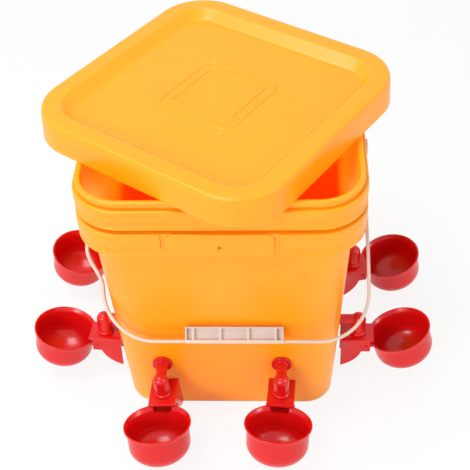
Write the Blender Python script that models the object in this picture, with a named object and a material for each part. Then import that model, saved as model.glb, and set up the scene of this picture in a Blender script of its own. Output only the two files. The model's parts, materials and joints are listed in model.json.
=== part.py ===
"""Poultry cup drinker: a square pail with a loose lid, a bail and six valve-fed drinking cups.

Run it with: blender --background --python part.py
Every size is in metres. X runs to the right, Y away from the front wall and Z up. The origin is
the centre of the pail's footprint, on the surface that the pail stands on.

Each drinking unit is screwed through a wall: an elbow brings the water down to a nozzle, and the
cup hangs on a pin in the housing. A spring pushes the cup's rear trough down, so an empty cup
stays up and the valve open. The weight of water tips the cup down, the trough rises and its
rubber pad closes the nozzle.
"""

import math
from collections import namedtuple

import bpy
import bmesh
from mathutils import Matrix, Vector

GAP = 0.0003              # clearance between pieces that touch

# Pail
PAIL_HEIGHT = 0.2899
BASE_HALF = 0.1038        # half the outer width at the base
RIM_HALF = 0.1250         # half the outer width of the rim's lip
RIM_WIDTH = 0.0047        # lip, from its outer edge to the inside of the pail
WALL = 0.0022
FLOOR = 0.0026
BASE_CORNER = 0.0278      # outer corner radius at the base
RIM_CORNER = 0.0409       # outer corner radius of the lip
SHOULDER_BELOW = 0.0619   # depth under the top from which the wall carries the skirts
UPPER_SKIRT_OUT = 0.0030  # lower edge of the upper skirt in front of the lip's edge
UPPER_SKIRT_BELOW = 0.0272
LOWER_SKIRT_OUT = 0.0038
LOWER_SKIRT_BELOW = 0.0575
SKIRT_WALL = 0.0018
HOLE_REACH = 0.010        # half the length of the cutter for an inlet's hole
SKIRT_LEAN = 0.0022       # how far a skirt's inner upper end lies behind its face
BORDER_STEP = 0.0012      # how far a skirt's inner lower end lies behind its face
SKIRT_BAND = 0.0100       # height of the band under a skirt's face
BAND_STEP = 0.0016        # how far the band's upper end lies behind the face
BAND_CREASE = 0.0005
BEAD_BACK = 0.0003        # how far the bead along a skirt's lower edge lies behind the face
BEAD_HIGH = 0.0018
FACE_LEAN = 0.0004        # how far a face's upper end lies behind its lower end
UPPER_WEB_BELOW = 0.0104  # underside of the upper skirt's web below the top
LOWER_WEB_BELOW = 0.0068  # underside of the lower skirt's web below the upper skirt's edge
STEP_HEIGHT = 0.0050      # slope that joins the lower skirt's face to the wall
LIP_HIGH = 0.0074         # height of the rim's lip
LIP_BACK = 0.0018         # groove under the lip, behind its edge
EDGE_ROUND = 0.0012       # round on the lip's edges
FOOT_ROUND = 0.0018
FLOOR_ROUND = 0.0040      # round between the inner wall and the floor
CORNER_STEPS = 5

# Front tab on the lower skirt
TAB_LEFT = -0.0453
TAB_RIGHT = 0.0468
TAB_HEIGHT = 0.0252       # above the lower skirt's edge
TAB_CORNER = 0.0085
TAB_MARGIN = 0.0055       # set back skirt beside the tab
TAB_MARGIN_TOP = 0.0044
TAB_PROUD = 0.0003        # how far the tab's face stands in front of the lower skirt
TAB_HOLE_UP = 0.0095      # above the lower skirt's edge
TAB_HOLE_RADIUS = 0.0015

# Lid, lying turned on the rim
LID_CENTRE = (-0.0044, 0.0036)
LID_TURN = math.radians(56.0)
LID_OVER = 0.00275        # lid's edge outside the pail's lip
LID_CORNER = 0.0495
LID_HEIGHT = 0.0268
LID_WALL = 0.0020
LID_EDGE_ROUND = 0.0050
LID_LEAN = 0.0012         # how far the outer wall leans in on its way up
LID_BAND = 0.02025        # width of the raised border
LID_SLOPE = 0.0090        # width of the slope from the border to the panel
LID_PANEL_DROP = 0.0088
LID_PANEL_CORNER = 0.0170
LID_BAND_CORNER = 0.0300
LID_BAND_EASE = 0.0026    # width of the round between the border and the slope to the panel
LID_PLUG_CLEAR = 0.0015   # wall that plugs into the pail's mouth, to the mouth
LID_PLUG_WALL = 0.0016
LID_PLUG_SHORT = 0.0006   # plug wall's edge above the rim
LID_RIDGE_HALVES = (0.0415, 0.0320)
LID_RIDGE_CORNERS = (0.0110, 0.0050)
LID_RIDGE_WIDTH = 0.0030
LID_RIDGE_HEIGHT = 0.0009

# Bail
BAIL_PIVOT_BELOW = 0.0399 # pivots under the pail's top
BAIL_LENGTH = 0.1819      # pivot to the middle of the cross run
BAIL_SKIRT_CLEAR = 0.0009 # strip's inner face to the lower skirt
BAIL_WALL_CLEAR = 0.0006  # grip to the front wall that it leans on
BAIL_RIGHT_CLEAR = 0.0226 # strip's inner face to the pail's sides, at the height of the run
BAIL_LEFT_CLEAR = 0.0043
BAIL_RIGHT_CORNER = 0.0455
BAIL_LEFT_CORNER = 0.0496
BAIL_RIGHT_STRAIGHT = 0.020
BAIL_LEFT_STRAIGHT = 0.094
BAIL_THICK = 0.0030
BAIL_DEEP = 0.0058
PIVOT_DISC_RADIUS = 0.0080
PIVOT_PEG_RADIUS = 0.0030
PIVOT_PEG_LENGTH = 0.0070
PIVOT_BARB = 0.0012       # barb's reach over the peg
PIVOT_BARB_LENGTH = 0.0016
PIVOT_PAD_BORDER = 0.0030 # pad's reach over the disc
PIVOT_PAD_PROUD = 0.0004  # the pad's face in front of the lower skirt's edge
GRIP_LEFT = -0.0380
GRIP_RIGHT = 0.0544
GRIP_ABOVE = 0.0140       # grip's upper edge above the cross run's middle
GRIP_BELOW = 0.0017
GRIP_REAR = 0.0026        # behind the bail's plane
GRIP_FRONT = 0.0046
GRIP_FLANGE = 0.0014
GRIP_POCKET = 0.0042
GRIP_RIB_WIDTH = 0.0018
GRIP_RIBS = (-0.0304, -0.0048, 0.0213, 0.0472)

# Wall fitting
HOLE_Z = 0.0670
THREAD_RADIUS = 0.0050
THREAD_INSIDE = 0.0118    # thread behind the inner face of the wall
THREAD_BORE = 0.0026
FLANGE_REACH = 0.0048     # flange, seal and nut over the thread
FLANGE_THICK = 0.0030
NECK_REACH = 0.0004
SEAL_REACH = 0.0042
SEAL_THICK = 0.0022
NUT_REACH = 0.0035
NUT_THICK = 0.0060

# Elbow's stem, which the housing turns on
STEM_OUT = 0.0235         # stem axis in front of the wall at the hole
DOME_RADIUS = 0.0076
STEM_FOOT_REACH = 0.0010
STEM_FOOT = 0.0028        # height of the foot ring
PLATE_BELOW = 0.0174      # top of the housing's plate below the hole
SPIGOT_RADIUS = 0.0036
SPIGOT_BORE = 0.0013
GROOVE_DEPTH = 0.0012
GROOVE_HEIGHT = 0.0018
RING_THICK = 0.0011
LIP_REACH = 0.0003        # snap lip's reach under the collar
LIP_HEIGHT = 0.0009
NOZZLE_BELOW = 0.0270     # nozzle's tip below the hole
NOZZLE_RADIUS = 0.0021

# Valve housing
PLATE_THICK = 0.0022
PLATE_CLEAR = 0.0058      # plate's rear edge to the wall
PLATE_FRONT = 0.0159
HOUSING_HALF = 0.0133     # half its width
SIDE_WALL = 0.0020
SIDE_FRONT = 0.0124       # front edge of the side plates
SIDE_DEPTH = 0.0356       # side plates' depth at the wall
SIDE_NECK = 0.0155        # side plates' depth at their front edge
FASCIA_DEPTH = 0.0009     # below the plate
FASCIA_THICK = 0.0016
COLLAR_WALL = 0.0009
COLLAR_HEIGHT = 0.0036
COLLAR_CLEAR = 0.0004     # round the spigot

# Cup and its hinge
HINGE_OUT = 0.0085        # pin in front of the stem axis
HINGE_BELOW = 0.0262      # pin below the hole
PIN_RADIUS = 0.0015
PIN_PROUD = 0.0009
CUP_NECK = 0.0054         # pin to the bowl, along the cup's mouth
CUP_RISE = 0.0031         # mouth above the pin
CUP_RADIUS = 0.0299
CUP_FLARE = 0.0026        # lip's reach over the bowl
CUP_LIP = 0.0046          # height of the flared lip
CUP_STRAIGHT = 0.0210     # mouth to the start of the round bottom
CUP_DEPTH = 0.0410
CUP_WALL = 0.0016
CUP_STEPS = 24
TROUGH_CLEAR = 0.0004     # to the inside of the housing's side plates
TROUGH_BEHIND = 0.0176    # trough's rear end behind the pin
TROUGH_BELOW = 0.0060     # trough's underside below the pin
TROUGH_CORNER = 0.0042
TROUGH_INTO_CUP = 0.0100
CLOSED_RAISE = math.radians(5.0)      # tilt at which the pad meets the nozzle
PAD_RADIUS = 0.0030
PAD_SOCKET_WALL = 0.0009
PAD_SOCKET_HEIGHT = 0.0014

# Return spring
SPRING_CLEAR = 0.0004     # wire to the collar
SPRING_WIRE = 0.0004      # the wire's radius
SPRING_TURNS = 3.5
SPRING_POINTS = 8         # points on each turn

# A unit on a wall: its place along the wall, its turn about the stem, its lean about the
# threaded tube and how far the cup's outer side is raised, as the pail was photographed.
Unit = namedtuple("Unit", "name wall along turn lean tilt")
UNITS = (
    Unit("front_right", "front", 0.0524, math.radians(-4.0), math.radians(1.5), math.radians(18.5)),
    Unit("front_left", "front", -0.0652, math.radians(-2.5), math.radians(-4.5), math.radians(17.5)),
    Unit("right_front", "right", -0.0495, math.radians(-1.0), math.radians(5.0), math.radians(17.0)),
    Unit("left_front", "left", -0.0485, math.radians(-3.5), math.radians(-5.0), math.radians(12.0)),
    Unit("right_back", "right", 0.0505, math.radians(15.0), math.radians(1.0), math.radians(13.0)),
    Unit("left_back", "left", 0.0640, math.radians(-3.5), math.radians(4.0), math.radians(14.0)),
)
WALL_NORMALS = {"front": (0, -1, 0), "left": (-1, 0, 0), "right": (1, 0, 0)}

# Values that follow from the sizes above
WALL_TAPER = (RIM_HALF - RIM_WIDTH - BASE_HALF) / PAIL_HEIGHT
SHOULDER_Z = PAIL_HEIGHT - SHOULDER_BELOW
UPPER_SKIRT_HALF = RIM_HALF + UPPER_SKIRT_OUT
UPPER_SKIRT_Z = PAIL_HEIGHT - UPPER_SKIRT_BELOW
LOWER_SKIRT_HALF = RIM_HALF + LOWER_SKIRT_OUT
LOWER_SKIRT_Z = PAIL_HEIGHT - LOWER_SKIRT_BELOW
TAB_TOP = LOWER_SKIRT_Z + TAB_HEIGHT
TAB_HOLE_Z = LOWER_SKIRT_Z + TAB_HOLE_UP
LID_HALF = RIM_HALF + LID_OVER
LID_BAND_INNER = LID_HALF - LID_BAND
LID_PANEL_HALF = LID_BAND_INNER - LID_SLOPE
LID_PLUG_HALF = RIM_HALF - RIM_WIDTH - LID_PLUG_CLEAR
BAIL_PIVOT_Z = PAIL_HEIGHT - BAIL_PIVOT_BELOW
BAIL_PIVOT_X = LOWER_SKIRT_HALF + BAIL_SKIRT_CLEAR + BAIL_THICK / 2
PIVOT_FACE_X = LOWER_SKIRT_HALF + PIVOT_PAD_PROUD
PIVOT_PEG_TIP = PIVOT_FACE_X + GAP - PIVOT_PEG_LENGTH
PIVOT_BARB_X = PIVOT_PEG_TIP + PIVOT_BARB_LENGTH
PIVOT_BARB_RADIUS = PIVOT_PEG_RADIUS + PIVOT_BARB
PIVOT_PAD_RADIUS = PIVOT_DISC_RADIUS + PIVOT_PAD_BORDER
FLANGE_RADIUS = THREAD_RADIUS + FLANGE_REACH
NECK_RADIUS = THREAD_RADIUS + NECK_REACH
SEAL_RADIUS = THREAD_RADIUS + SEAL_REACH
NUT_ACROSS = 2 * (THREAD_RADIUS + NUT_REACH)
STEM_FOOT_RADIUS = DOME_RADIUS + STEM_FOOT_REACH
GROOVE_RADIUS = SPIGOT_RADIUS - GROOVE_DEPTH
PLATE_BACK = STEM_OUT - PLATE_CLEAR
CUP_OUT = CUP_RADIUS + CUP_NECK
CUP_LIP_RADIUS = CUP_RADIUS + CUP_FLARE
PLATE_TOP = -PLATE_BELOW
PLATE_UNDER = PLATE_TOP - PLATE_THICK
COLLAR_BORE = SPIGOT_RADIUS + COLLAR_CLEAR
COLLAR_RADIUS = COLLAR_BORE + COLLAR_WALL
LIP_RADIUS = COLLAR_BORE + LIP_REACH
SPRING_RADIUS = COLLAR_RADIUS + SPRING_CLEAR + SPRING_WIRE
PIN_BORE = PIN_RADIUS + GAP
SIDE_INNER = HOUSING_HALF - SIDE_WALL
TROUGH_HALF = SIDE_INNER - TROUGH_CLEAR
TROUGH_FLOOR = CUP_WALL - TROUGH_BELOW


def clear_scene():
    for old in list(bpy.data.objects):
        bpy.data.objects.remove(old, do_unlink=True)


def plastic(name, colour, roughness, metallic=0.0):
    """A Principled material of one colour, given as linear red, green and blue."""
    material = bpy.data.materials.new(name)
    material.use_nodes = True
    shader = material.node_tree.nodes["Principled BSDF"]
    shader.inputs["Base Color"].default_value = (*colour, 1.0)
    shader.inputs["Roughness"].default_value = roughness
    shader.inputs["Metallic"].default_value = metallic
    return material


def add_object(name, bm, material, parent=None, helper=False):
    """Puts a closed bmesh into the scene with its faces outwards, smooth where it is round."""
    bmesh.ops.recalc_face_normals(bm, faces=bm.faces)
    if bm.calc_volume(signed=True) < 0:
        bmesh.ops.reverse_faces(bm, faces=bm.faces)
    mesh = bpy.data.meshes.new(name)
    bm.to_mesh(mesh)
    bm.free()
    mesh.shade_smooth()
    mesh.set_sharp_from_angle(angle=math.radians(35))
    obj = bpy.data.objects.new(name, mesh)
    bpy.context.scene.collection.objects.link(obj)
    if material:
        mesh.materials.append(material)
    obj.parent = parent
    if helper:
        obj.hide_render = True
        obj.display_type = "WIRE"
    return obj


def combine(obj, operation, others):
    """Adds one exact Boolean to obj for each of the helpers."""
    for number, other in enumerate(others):
        modifier = obj.modifiers.new(f"{operation.lower()} {number}", "BOOLEAN")
        modifier.operation = operation
        modifier.solver = "EXACT"
        modifier.object = other


def frame_empty(name, matrix, parent=None):
    empty = bpy.data.objects.new(name, None)
    bpy.context.scene.collection.objects.link(empty)
    empty.parent = parent
    empty.matrix_local = matrix
    return empty


def arc(centre, radius, start, end, steps):
    """Points on a circular arc in a plane, with both ends. Angles are in degrees."""
    points = []
    for step in range(steps + 1):
        angle = math.radians(start + (end - start) * step / steps)
        points.append((centre[0] + radius * math.cos(angle), centre[1] + radius * math.sin(angle)))
    return points


def rounded_square(half, radius, height):
    """A ring of points round a square of the given half width with round corners."""
    inset = half - radius
    ring = []
    for corner, (sx, sy) in enumerate(((1, 1), (-1, 1), (-1, -1), (1, -1))):
        start = 90 * corner
        for x, y in arc((sx * inset, sy * inset), radius, start, start + 90, CORNER_STEPS):
            ring.append((x, y, height))
    return ring


def bridge(bm, lower, upper):
    """Joins two rings that have the same number of points with a band of faces."""
    for i in range(len(lower)):
        j = (i + 1) % len(lower)
        bm.faces.new((lower[i], lower[j], upper[j], upper[i]))


def loft(rings):
    """A closed solid through rings that have the same number of points, capped at both ends."""
    bm = bmesh.new()
    rows = [[bm.verts.new(point) for point in ring] for ring in rings]
    for lower, upper in zip(rows, rows[1:]):
        bridge(bm, lower, upper)
    bm.faces.new(rows[0][::-1])
    bm.faces.new(rows[-1])
    return bm


def prism(outline, low, high, place):
    """A flat outline carried from low to high. place turns (u, v, w) into a point."""
    bm = bmesh.new()
    ends = [[bm.verts.new(place(u, v, w)) for u, v in outline] for w in (low, high)]
    bridge(bm, *ends)
    bm.faces.new(ends[0][::-1])
    bm.faces.new(ends[1])
    return bm


def along_x(u, v, w):
    return (w, u, v)


def along_y(u, v, w):
    return (u, w, v)


def turned(profile, steps, closed=False):
    """A profile of (radius, height) turned about Z. An open one starts and ends on the axis."""
    bm = bmesh.new()
    points = [bm.verts.new((radius, 0, height)) for radius, height in profile]
    edges = [bm.edges.new(pair) for pair in zip(points, points[1:])]
    if closed:
        edges.append(bm.edges.new((points[-1], points[0])))
    bmesh.ops.spin(
        bm, geom=points + edges, cent=(0, 0, 0), axis=(0, 0, 1), angle=math.tau, steps=steps
    )
    bmesh.ops.remove_doubles(bm, verts=bm.verts, dist=1e-6)
    return bm


def turned_along_x(profile, steps, closed=False):
    """As turned, with heights along X."""
    bm = turned(profile, steps, closed)
    bm.transform(Matrix(((0, 0, 1), (1, 0, 0), (0, 1, 0))).to_4x4())
    return bm


def cylinder_between(start, end, radius, steps):
    """A closed cylinder from start to end."""
    start = Vector(start)
    end = Vector(end)
    bm = bmesh.new()
    bmesh.ops.create_cone(
        bm, cap_ends=True, segments=steps, radius1=radius, radius2=radius, depth=(end - start).length
    )
    turn = (end - start).to_track_quat("Z", "Y").to_matrix().to_4x4()
    bm.transform(Matrix.Translation((start + end) / 2) @ turn)
    return bm


def box(low, high):
    bm = bmesh.new()
    bmesh.ops.create_cube(bm, size=1)
    size = [b - a for a, b in zip(low, high)]
    middle = [(a + b) / 2 for a, b in zip(low, high)]
    bm.transform(Matrix.Translation(middle) @ Matrix.Diagonal((*size, 1)))
    return bm


def wall_half(z):
    """Half the pail's outer width at height z."""
    return BASE_HALF + WALL_TAPER * z


def inner_half(z):
    """Half the pail's inner width: parallel to the wall, then out to the lip's inner edge."""
    if z <= SHOULDER_Z:
        return wall_half(z) - WALL
    share = (z - SHOULDER_Z) / (PAIL_HEIGHT - SHOULDER_Z)
    start = wall_half(SHOULDER_Z) - WALL
    return start + share * (RIM_HALF - RIM_WIDTH - start)


def bail_rest():
    """The bail's angle forward of straight down at which its grip meets the front wall.

    The grip's upper rear edge moves on a circle about the pivots, and the wall is a sloping plane.
    """
    edge = Vector((BAIL_LENGTH - GRIP_ABOVE, GRIP_REAR))
    out = BASE_HALF + WALL_TAPER * BAIL_PIVOT_Z + BAIL_WALL_CLEAR
    angle = math.asin(out / (edge.length * math.hypot(1, WALL_TAPER))) - math.atan(WALL_TAPER)
    return angle + math.atan2(edge.y, edge.x)


def run_half(clear):
    """Half the bail's width at its run, for a clearance from the strip to the pail's side."""
    return wall_half(BAIL_PIVOT_Z - BAIL_LENGTH * math.cos(bail_rest())) + clear + BAIL_THICK / 2


def corner_inset(z):
    """Distance from the middle to the centre of a corner's arc, which grows up to the shoulder."""
    base = BASE_HALF - BASE_CORNER
    top = RIM_HALF - RIM_CORNER
    return base + (top - base) * min(z / SHOULDER_Z, 1)


def pail_ring(half, z):
    return rounded_square(half, half - corner_inset(z), z)


def pail_profile():
    """(half width, height) from the outside of the base, over the skirts and lip, to the floor."""
    top = PAIL_HEIGHT
    lower_web = UPPER_SKIRT_Z - LOWER_WEB_BELOW
    upper_web = top - UPPER_WEB_BELOW
    low_face = LOWER_SKIRT_HALF - BORDER_STEP
    up_face = UPPER_SKIRT_HALF - BORDER_STEP
    up_back = UPPER_SKIRT_HALF - SKIRT_LEAN
    step = UPPER_SKIRT_Z - STEP_HEIGHT
    lip_back = RIM_HALF - LIP_BACK
    lip_foot = top - LIP_HIGH
    round_z = FLOOR + FLOOR_ROUND
    return [
        (BASE_HALF - FOOT_ROUND, 0),
        (BASE_HALF, FOOT_ROUND),
        (wall_half(SHOULDER_Z), SHOULDER_Z),
        (inner_half(lower_web) + WALL, lower_web),
        (LOWER_SKIRT_HALF - SKIRT_LEAN - SKIRT_WALL, lower_web),
        (low_face - SKIRT_WALL, LOWER_SKIRT_Z),
        (LOWER_SKIRT_HALF - BEAD_BACK, LOWER_SKIRT_Z),
        (LOWER_SKIRT_HALF - BEAD_BACK, LOWER_SKIRT_Z + BEAD_HIGH),
        (LOWER_SKIRT_HALF - BAND_STEP, LOWER_SKIRT_Z + SKIRT_BAND),
        (LOWER_SKIRT_HALF, LOWER_SKIRT_Z + SKIRT_BAND + BAND_CREASE),
        (LOWER_SKIRT_HALF - FACE_LEAN, step),
        (LOWER_SKIRT_HALF - FACE_LEAN - EDGE_ROUND, step + STEP_HEIGHT / 2),
        (inner_half(UPPER_SKIRT_Z) + WALL, UPPER_SKIRT_Z - LOWER_WEB_BELOW / 2),
        (inner_half(upper_web) + WALL, upper_web),
        (up_back - SKIRT_WALL, upper_web),
        (up_face - SKIRT_WALL, UPPER_SKIRT_Z),
        (UPPER_SKIRT_HALF - BEAD_BACK, UPPER_SKIRT_Z),
        (UPPER_SKIRT_HALF - BEAD_BACK, UPPER_SKIRT_Z + BEAD_HIGH),
        (UPPER_SKIRT_HALF - BAND_STEP, UPPER_SKIRT_Z + SKIRT_BAND),
        (UPPER_SKIRT_HALF, UPPER_SKIRT_Z + SKIRT_BAND + BAND_CREASE),
        (UPPER_SKIRT_HALF - FACE_LEAN, lip_foot - EDGE_ROUND),
        (lip_back, lip_foot),
        (lip_back, lip_foot + EDGE_ROUND),
        (RIM_HALF, lip_foot + LIP_HIGH / 2),
        (RIM_HALF, top - EDGE_ROUND),
        (RIM_HALF - EDGE_ROUND, top),
        (RIM_HALF - RIM_WIDTH + EDGE_ROUND, top),
        (inner_half(top), top - EDGE_ROUND),
        (inner_half(SHOULDER_Z), SHOULDER_Z),
        (inner_half(round_z), round_z),
        (inner_half(FLOOR) - 0.3 * FLOOR_ROUND, FLOOR + 0.3 * FLOOR_ROUND),
        (inner_half(FLOOR) - FLOOR_ROUND, FLOOR),
    ]


def fitting_frame(unit):
    """Frame at the hole's centre on the wall's outer face: X out of the wall, Z up the stem."""
    normal = Vector(WALL_NORMALS[unit.wall])
    sideways = Vector((0, 0, 1)).cross(normal)
    upright = Matrix((normal, sideways, (0, 0, 1))).transposed().to_4x4()
    place = normal * wall_half(HOLE_Z)
    place += Vector((unit.along, 0, 0)) if unit.wall == "front" else Vector((0, unit.along, 0))
    place.z = HOLE_Z
    return Matrix.Translation(place) @ upright @ Matrix.Rotation(-unit.lean, 4, "X")


def follow_wall(bm, unit, x):
    """Shears the points in the plane at x, so that this face follows the wall's taper."""
    for vertex in bm.verts:
        if abs(vertex.co.x - x) < 1e-5:
            rise = vertex.co.z * math.cos(unit.lean) - vertex.co.y * math.sin(unit.lean)
            vertex.co.x += WALL_TAPER * rise


def make_pail(material):
    pail = add_object("bucket", loft([pail_ring(half, z) for half, z in pail_profile()]), material)
    outline = [(TAB_LEFT, LOWER_SKIRT_Z + GAP), (TAB_RIGHT, LOWER_SKIRT_Z + GAP)]
    outline += arc((TAB_RIGHT - TAB_CORNER, TAB_TOP - TAB_CORNER), TAB_CORNER, 0, 90, 4)
    outline += arc((TAB_LEFT + TAB_CORNER, TAB_TOP - TAB_CORNER), TAB_CORNER, 90, 180, 4)
    left, right = TAB_LEFT - TAB_MARGIN, TAB_RIGHT + TAB_MARGIN
    high = TAB_TOP + TAB_MARGIN_TOP
    corner = TAB_CORNER + TAB_MARGIN
    margin = [(left, LOWER_SKIRT_Z + SKIRT_BAND), (right, LOWER_SKIRT_Z + SKIRT_BAND)]
    margin += arc((right - corner, high - corner), corner, 0, 90, 4)
    margin += arc((left + corner, high - corner), corner, 90, 180, 4)
    face = -LOWER_SKIRT_HALF - TAB_PROUD
    back = -LOWER_SKIRT_HALF + BORDER_STEP + 1.5 * SKIRT_WALL
    recess = add_object("recess_helper", prism(margin, face - TAB_PROUD, BAND_STEP - LOWER_SKIRT_HALF,
                                               along_y), None, helper=True)
    tab = add_object("tab_helper", prism(outline, face, back, along_y), None, helper=True)
    pads = []
    holes = []
    for side in (-1, 1):
        inside = side * (PIVOT_BARB_X + GAP)
        outside = side * PIVOT_FACE_X
        ends = ((inside, 0, BAIL_PIVOT_Z), (outside, 0, BAIL_PIVOT_Z))
        pads.append(add_object("pad_helper", cylinder_between(*ends, PIVOT_PAD_RADIUS, 16), None,
                               helper=True))
        ends = ((inside - side * 0.004, 0, BAIL_PIVOT_Z), (outside + side * 0.004, 0, BAIL_PIVOT_Z))
        holes.append(add_object("pivot_hole", cylinder_between(*ends, PIVOT_PEG_RADIUS + GAP, 12),
                                None, helper=True))
    ends = ((0, face - 0.004, TAB_HOLE_Z), (0, back + 0.004, TAB_HOLE_Z))
    holes.append(add_object("tab_hole", cylinder_between(*ends, TAB_HOLE_RADIUS, 12), None, helper=True))
    for unit in UNITS:
        frame = fitting_frame(unit)
        ends = (frame @ Vector((-HOLE_REACH, 0, 0)), frame @ Vector((HOLE_REACH, 0, 0)))
        holes.append(add_object(unit.name + "_hole", cylinder_between(*ends, THREAD_RADIUS + GAP, 14),
                                None, helper=True))
    combine(pail, "DIFFERENCE", [recess])
    combine(pail, "UNION", [tab] + pads)
    combine(pail, "DIFFERENCE", holes)


def lid_top():
    """(half width, corner radius, height) from the outer wall's foot to the innermost ridge."""
    top = LID_HEIGHT
    panel = top - LID_PANEL_DROP
    high = top - LID_EDGE_ROUND
    rings = [
        (LID_HALF, LID_CORNER, 0),
        (LID_HALF - LID_LEAN, LID_CORNER - LID_LEAN, high - LID_LEAN),
        (LID_HALF - 0.5 * LID_EDGE_ROUND, LID_CORNER - 0.6 * LID_EDGE_ROUND, high + 0.6 * LID_EDGE_ROUND),
        (LID_HALF - LID_EDGE_ROUND, LID_CORNER - 1.4 * LID_EDGE_ROUND, top),
        (LID_BAND_INNER, LID_BAND_CORNER, top),
        (LID_BAND_INNER - LID_BAND_EASE, LID_BAND_CORNER - LID_BAND_EASE, top - 0.5 * LID_BAND_EASE),
        (LID_PANEL_HALF, LID_PANEL_CORNER, panel),
    ]
    slope = 0.2 * LID_RIDGE_WIDTH
    crest = panel + LID_RIDGE_HEIGHT
    for half, corner in zip(LID_RIDGE_HALVES, LID_RIDGE_CORNERS):
        inner = LID_RIDGE_WIDTH - slope
        rings += [(half, corner, panel), (half - slope, corner - slope, crest),
                  (half - inner, corner - inner, crest),
                  (half - LID_RIDGE_WIDTH, corner - LID_RIDGE_WIDTH, panel)]
    return rings


def lid_under():
    """The same for the underside: panel, border, plug wall and the outer wall's inner face."""
    under = LID_HEIGHT - LID_WALL
    band = LID_BAND_INNER - LID_WALL / 2
    corner = LID_CORNER - (LID_HALF - LID_PLUG_HALF)
    inner = (LID_PLUG_HALF - LID_PLUG_WALL, corner - LID_PLUG_WALL)
    edge = LID_EDGE_ROUND + LID_LEAN
    return [
        (LID_PANEL_HALF - LID_WALL, LID_PANEL_CORNER - LID_WALL, under - LID_PANEL_DROP),
        (band, LID_BAND_CORNER - LID_WALL / 2, under - LID_BAND_EASE / 2),
        (*inner, under),
        (*inner, LID_PLUG_SHORT),
        (LID_PLUG_HALF, corner, LID_PLUG_SHORT),
        (LID_PLUG_HALF, corner, under),
        (LID_HALF - edge, LID_CORNER - 1.4 * edge, under),
        (LID_HALF - LID_LEAN - LID_WALL, LID_CORNER - LID_LEAN - LID_WALL, LID_HEIGHT - edge),
        (LID_HALF - LID_WALL, LID_CORNER - LID_WALL, 0),
    ]


def make_lid(material):
    """The lid's top and underside as two lofts, joined along the outer wall's foot."""
    bm = bmesh.new()
    top, under = [[[bm.verts.new(point) for point in rounded_square(*size)] for size in sizes]
                  for sizes in (lid_top(), lid_under())]
    for lower, upper in [*zip(top, top[1:]), *zip(under, under[1:]), (under[-1], top[0])]:
        bridge(bm, lower, upper)
    bm.faces.new(top[-1])
    bm.faces.new(under[0])
    lid = add_object("lid", bm, material)
    lid.location = (*LID_CENTRE, PAIL_HEIGHT + GAP)
    lid.rotation_euler.z = LID_TURN


def eased(start, end, share):
    """From start to end along half a cosine wave."""
    return start + (end - start) * (1 - math.cos(math.pi * share)) / 2


def bail_side(side, straight, half, corner):
    """One side of the strip's middle line as (x, down): arm, eased lean and corner arc."""
    foot = BAIL_LENGTH - corner
    lean = [(eased(BAIL_PIVOT_X, half, step / 5), straight + (foot - straight) * step / 5)
            for step in range(6)]
    points = [(BAIL_PIVOT_X, 0)] + lean
    points += arc((half - corner, foot), corner, 0, 90, 6)[1:]
    return [(side * x, down) for x, down in points]


def bail_strip():
    """The strip as a loft of chamfered sections, square to its middle line."""
    left = bail_side(-1, BAIL_LEFT_STRAIGHT, run_half(BAIL_LEFT_CLEAR), BAIL_LEFT_CORNER)
    right = bail_side(1, BAIL_RIGHT_STRAIGHT, run_half(BAIL_RIGHT_CLEAR), BAIL_RIGHT_CORNER)
    line = [Vector(point) for point in left + right[::-1]]
    flat = BAIL_THICK / 2
    deep = BAIL_DEEP / 2
    cut = 0.0005
    section = [(flat, cut - deep), (flat, deep - cut), (flat - cut, deep), (cut - flat, deep),
               (-flat, deep - cut), (-flat, cut - deep), (cut - flat, -deep), (flat - cut, -deep)]
    rings = []
    for i, point in enumerate(line):
        ahead = (line[min(i + 1, len(line) - 1)] - line[max(i - 1, 0)]).normalized()
        across = Vector((ahead.y, -ahead.x))
        rings.append([(point.x + across.x * u, v, -point.y - across.y * u) for u, v in section])
    return loft(rings)


def make_bail(material):
    frame = frame_empty("bail_pivot", Matrix.Translation((0, 0, BAIL_PIVOT_Z))
                        @ Matrix.Rotation(-bail_rest(), 4, "X"))
    bail = add_object("bail", bail_strip(), material, frame)
    low = -BAIL_LENGTH - GRIP_BELOW
    high = -BAIL_LENGTH + GRIP_ABOVE
    parts = [add_object("grip_helper", box((GRIP_LEFT, -GRIP_FRONT, low), (GRIP_RIGHT, GRIP_REAR, high)),
                        None, frame, helper=True)]
    for side in (-1, 1):
        face = PIVOT_FACE_X + GAP
        outer = BAIL_PIVOT_X + BAIL_THICK / 2 + 0.0004
        profile = [(0, PIVOT_PEG_TIP), (PIVOT_PEG_RADIUS - 0.0006, PIVOT_PEG_TIP),
                   (PIVOT_BARB_RADIUS, PIVOT_BARB_X - 0.0004), (PIVOT_BARB_RADIUS, PIVOT_BARB_X),
                   (PIVOT_PEG_RADIUS, PIVOT_BARB_X), (PIVOT_PEG_RADIUS, face),
                   (PIVOT_DISC_RADIUS, face), (PIVOT_DISC_RADIUS, outer - 0.0005),
                   (PIVOT_DISC_RADIUS - 0.0005, outer), (0, outer)]
        knob = turned_along_x(profile, 12)
        if side < 0:
            knob.transform(Matrix.Rotation(math.pi, 4, "Z"))
        parts.append(add_object("knob_helper", knob, None, frame, helper=True))
    pockets = []
    edges = [GRIP_LEFT - GRIP_RIB_WIDTH / 2 + GRIP_FLANGE, *GRIP_RIBS]
    edges.append(GRIP_RIGHT + GRIP_RIB_WIDTH / 2 - GRIP_FLANGE)
    for start, end in zip(edges, edges[1:]):
        corner_low = (start + GRIP_RIB_WIDTH / 2, -GRIP_FRONT - 0.002, low + 0.0034)
        corner_high = (end - GRIP_RIB_WIDTH / 2, GRIP_POCKET - GRIP_FRONT, high - GRIP_FLANGE)
        pockets.append(add_object("pocket_helper", box(corner_low, corner_high), None, frame, helper=True))
    combine(bail, "UNION", parts)
    combine(bail, "DIFFERENCE", pockets)


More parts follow.
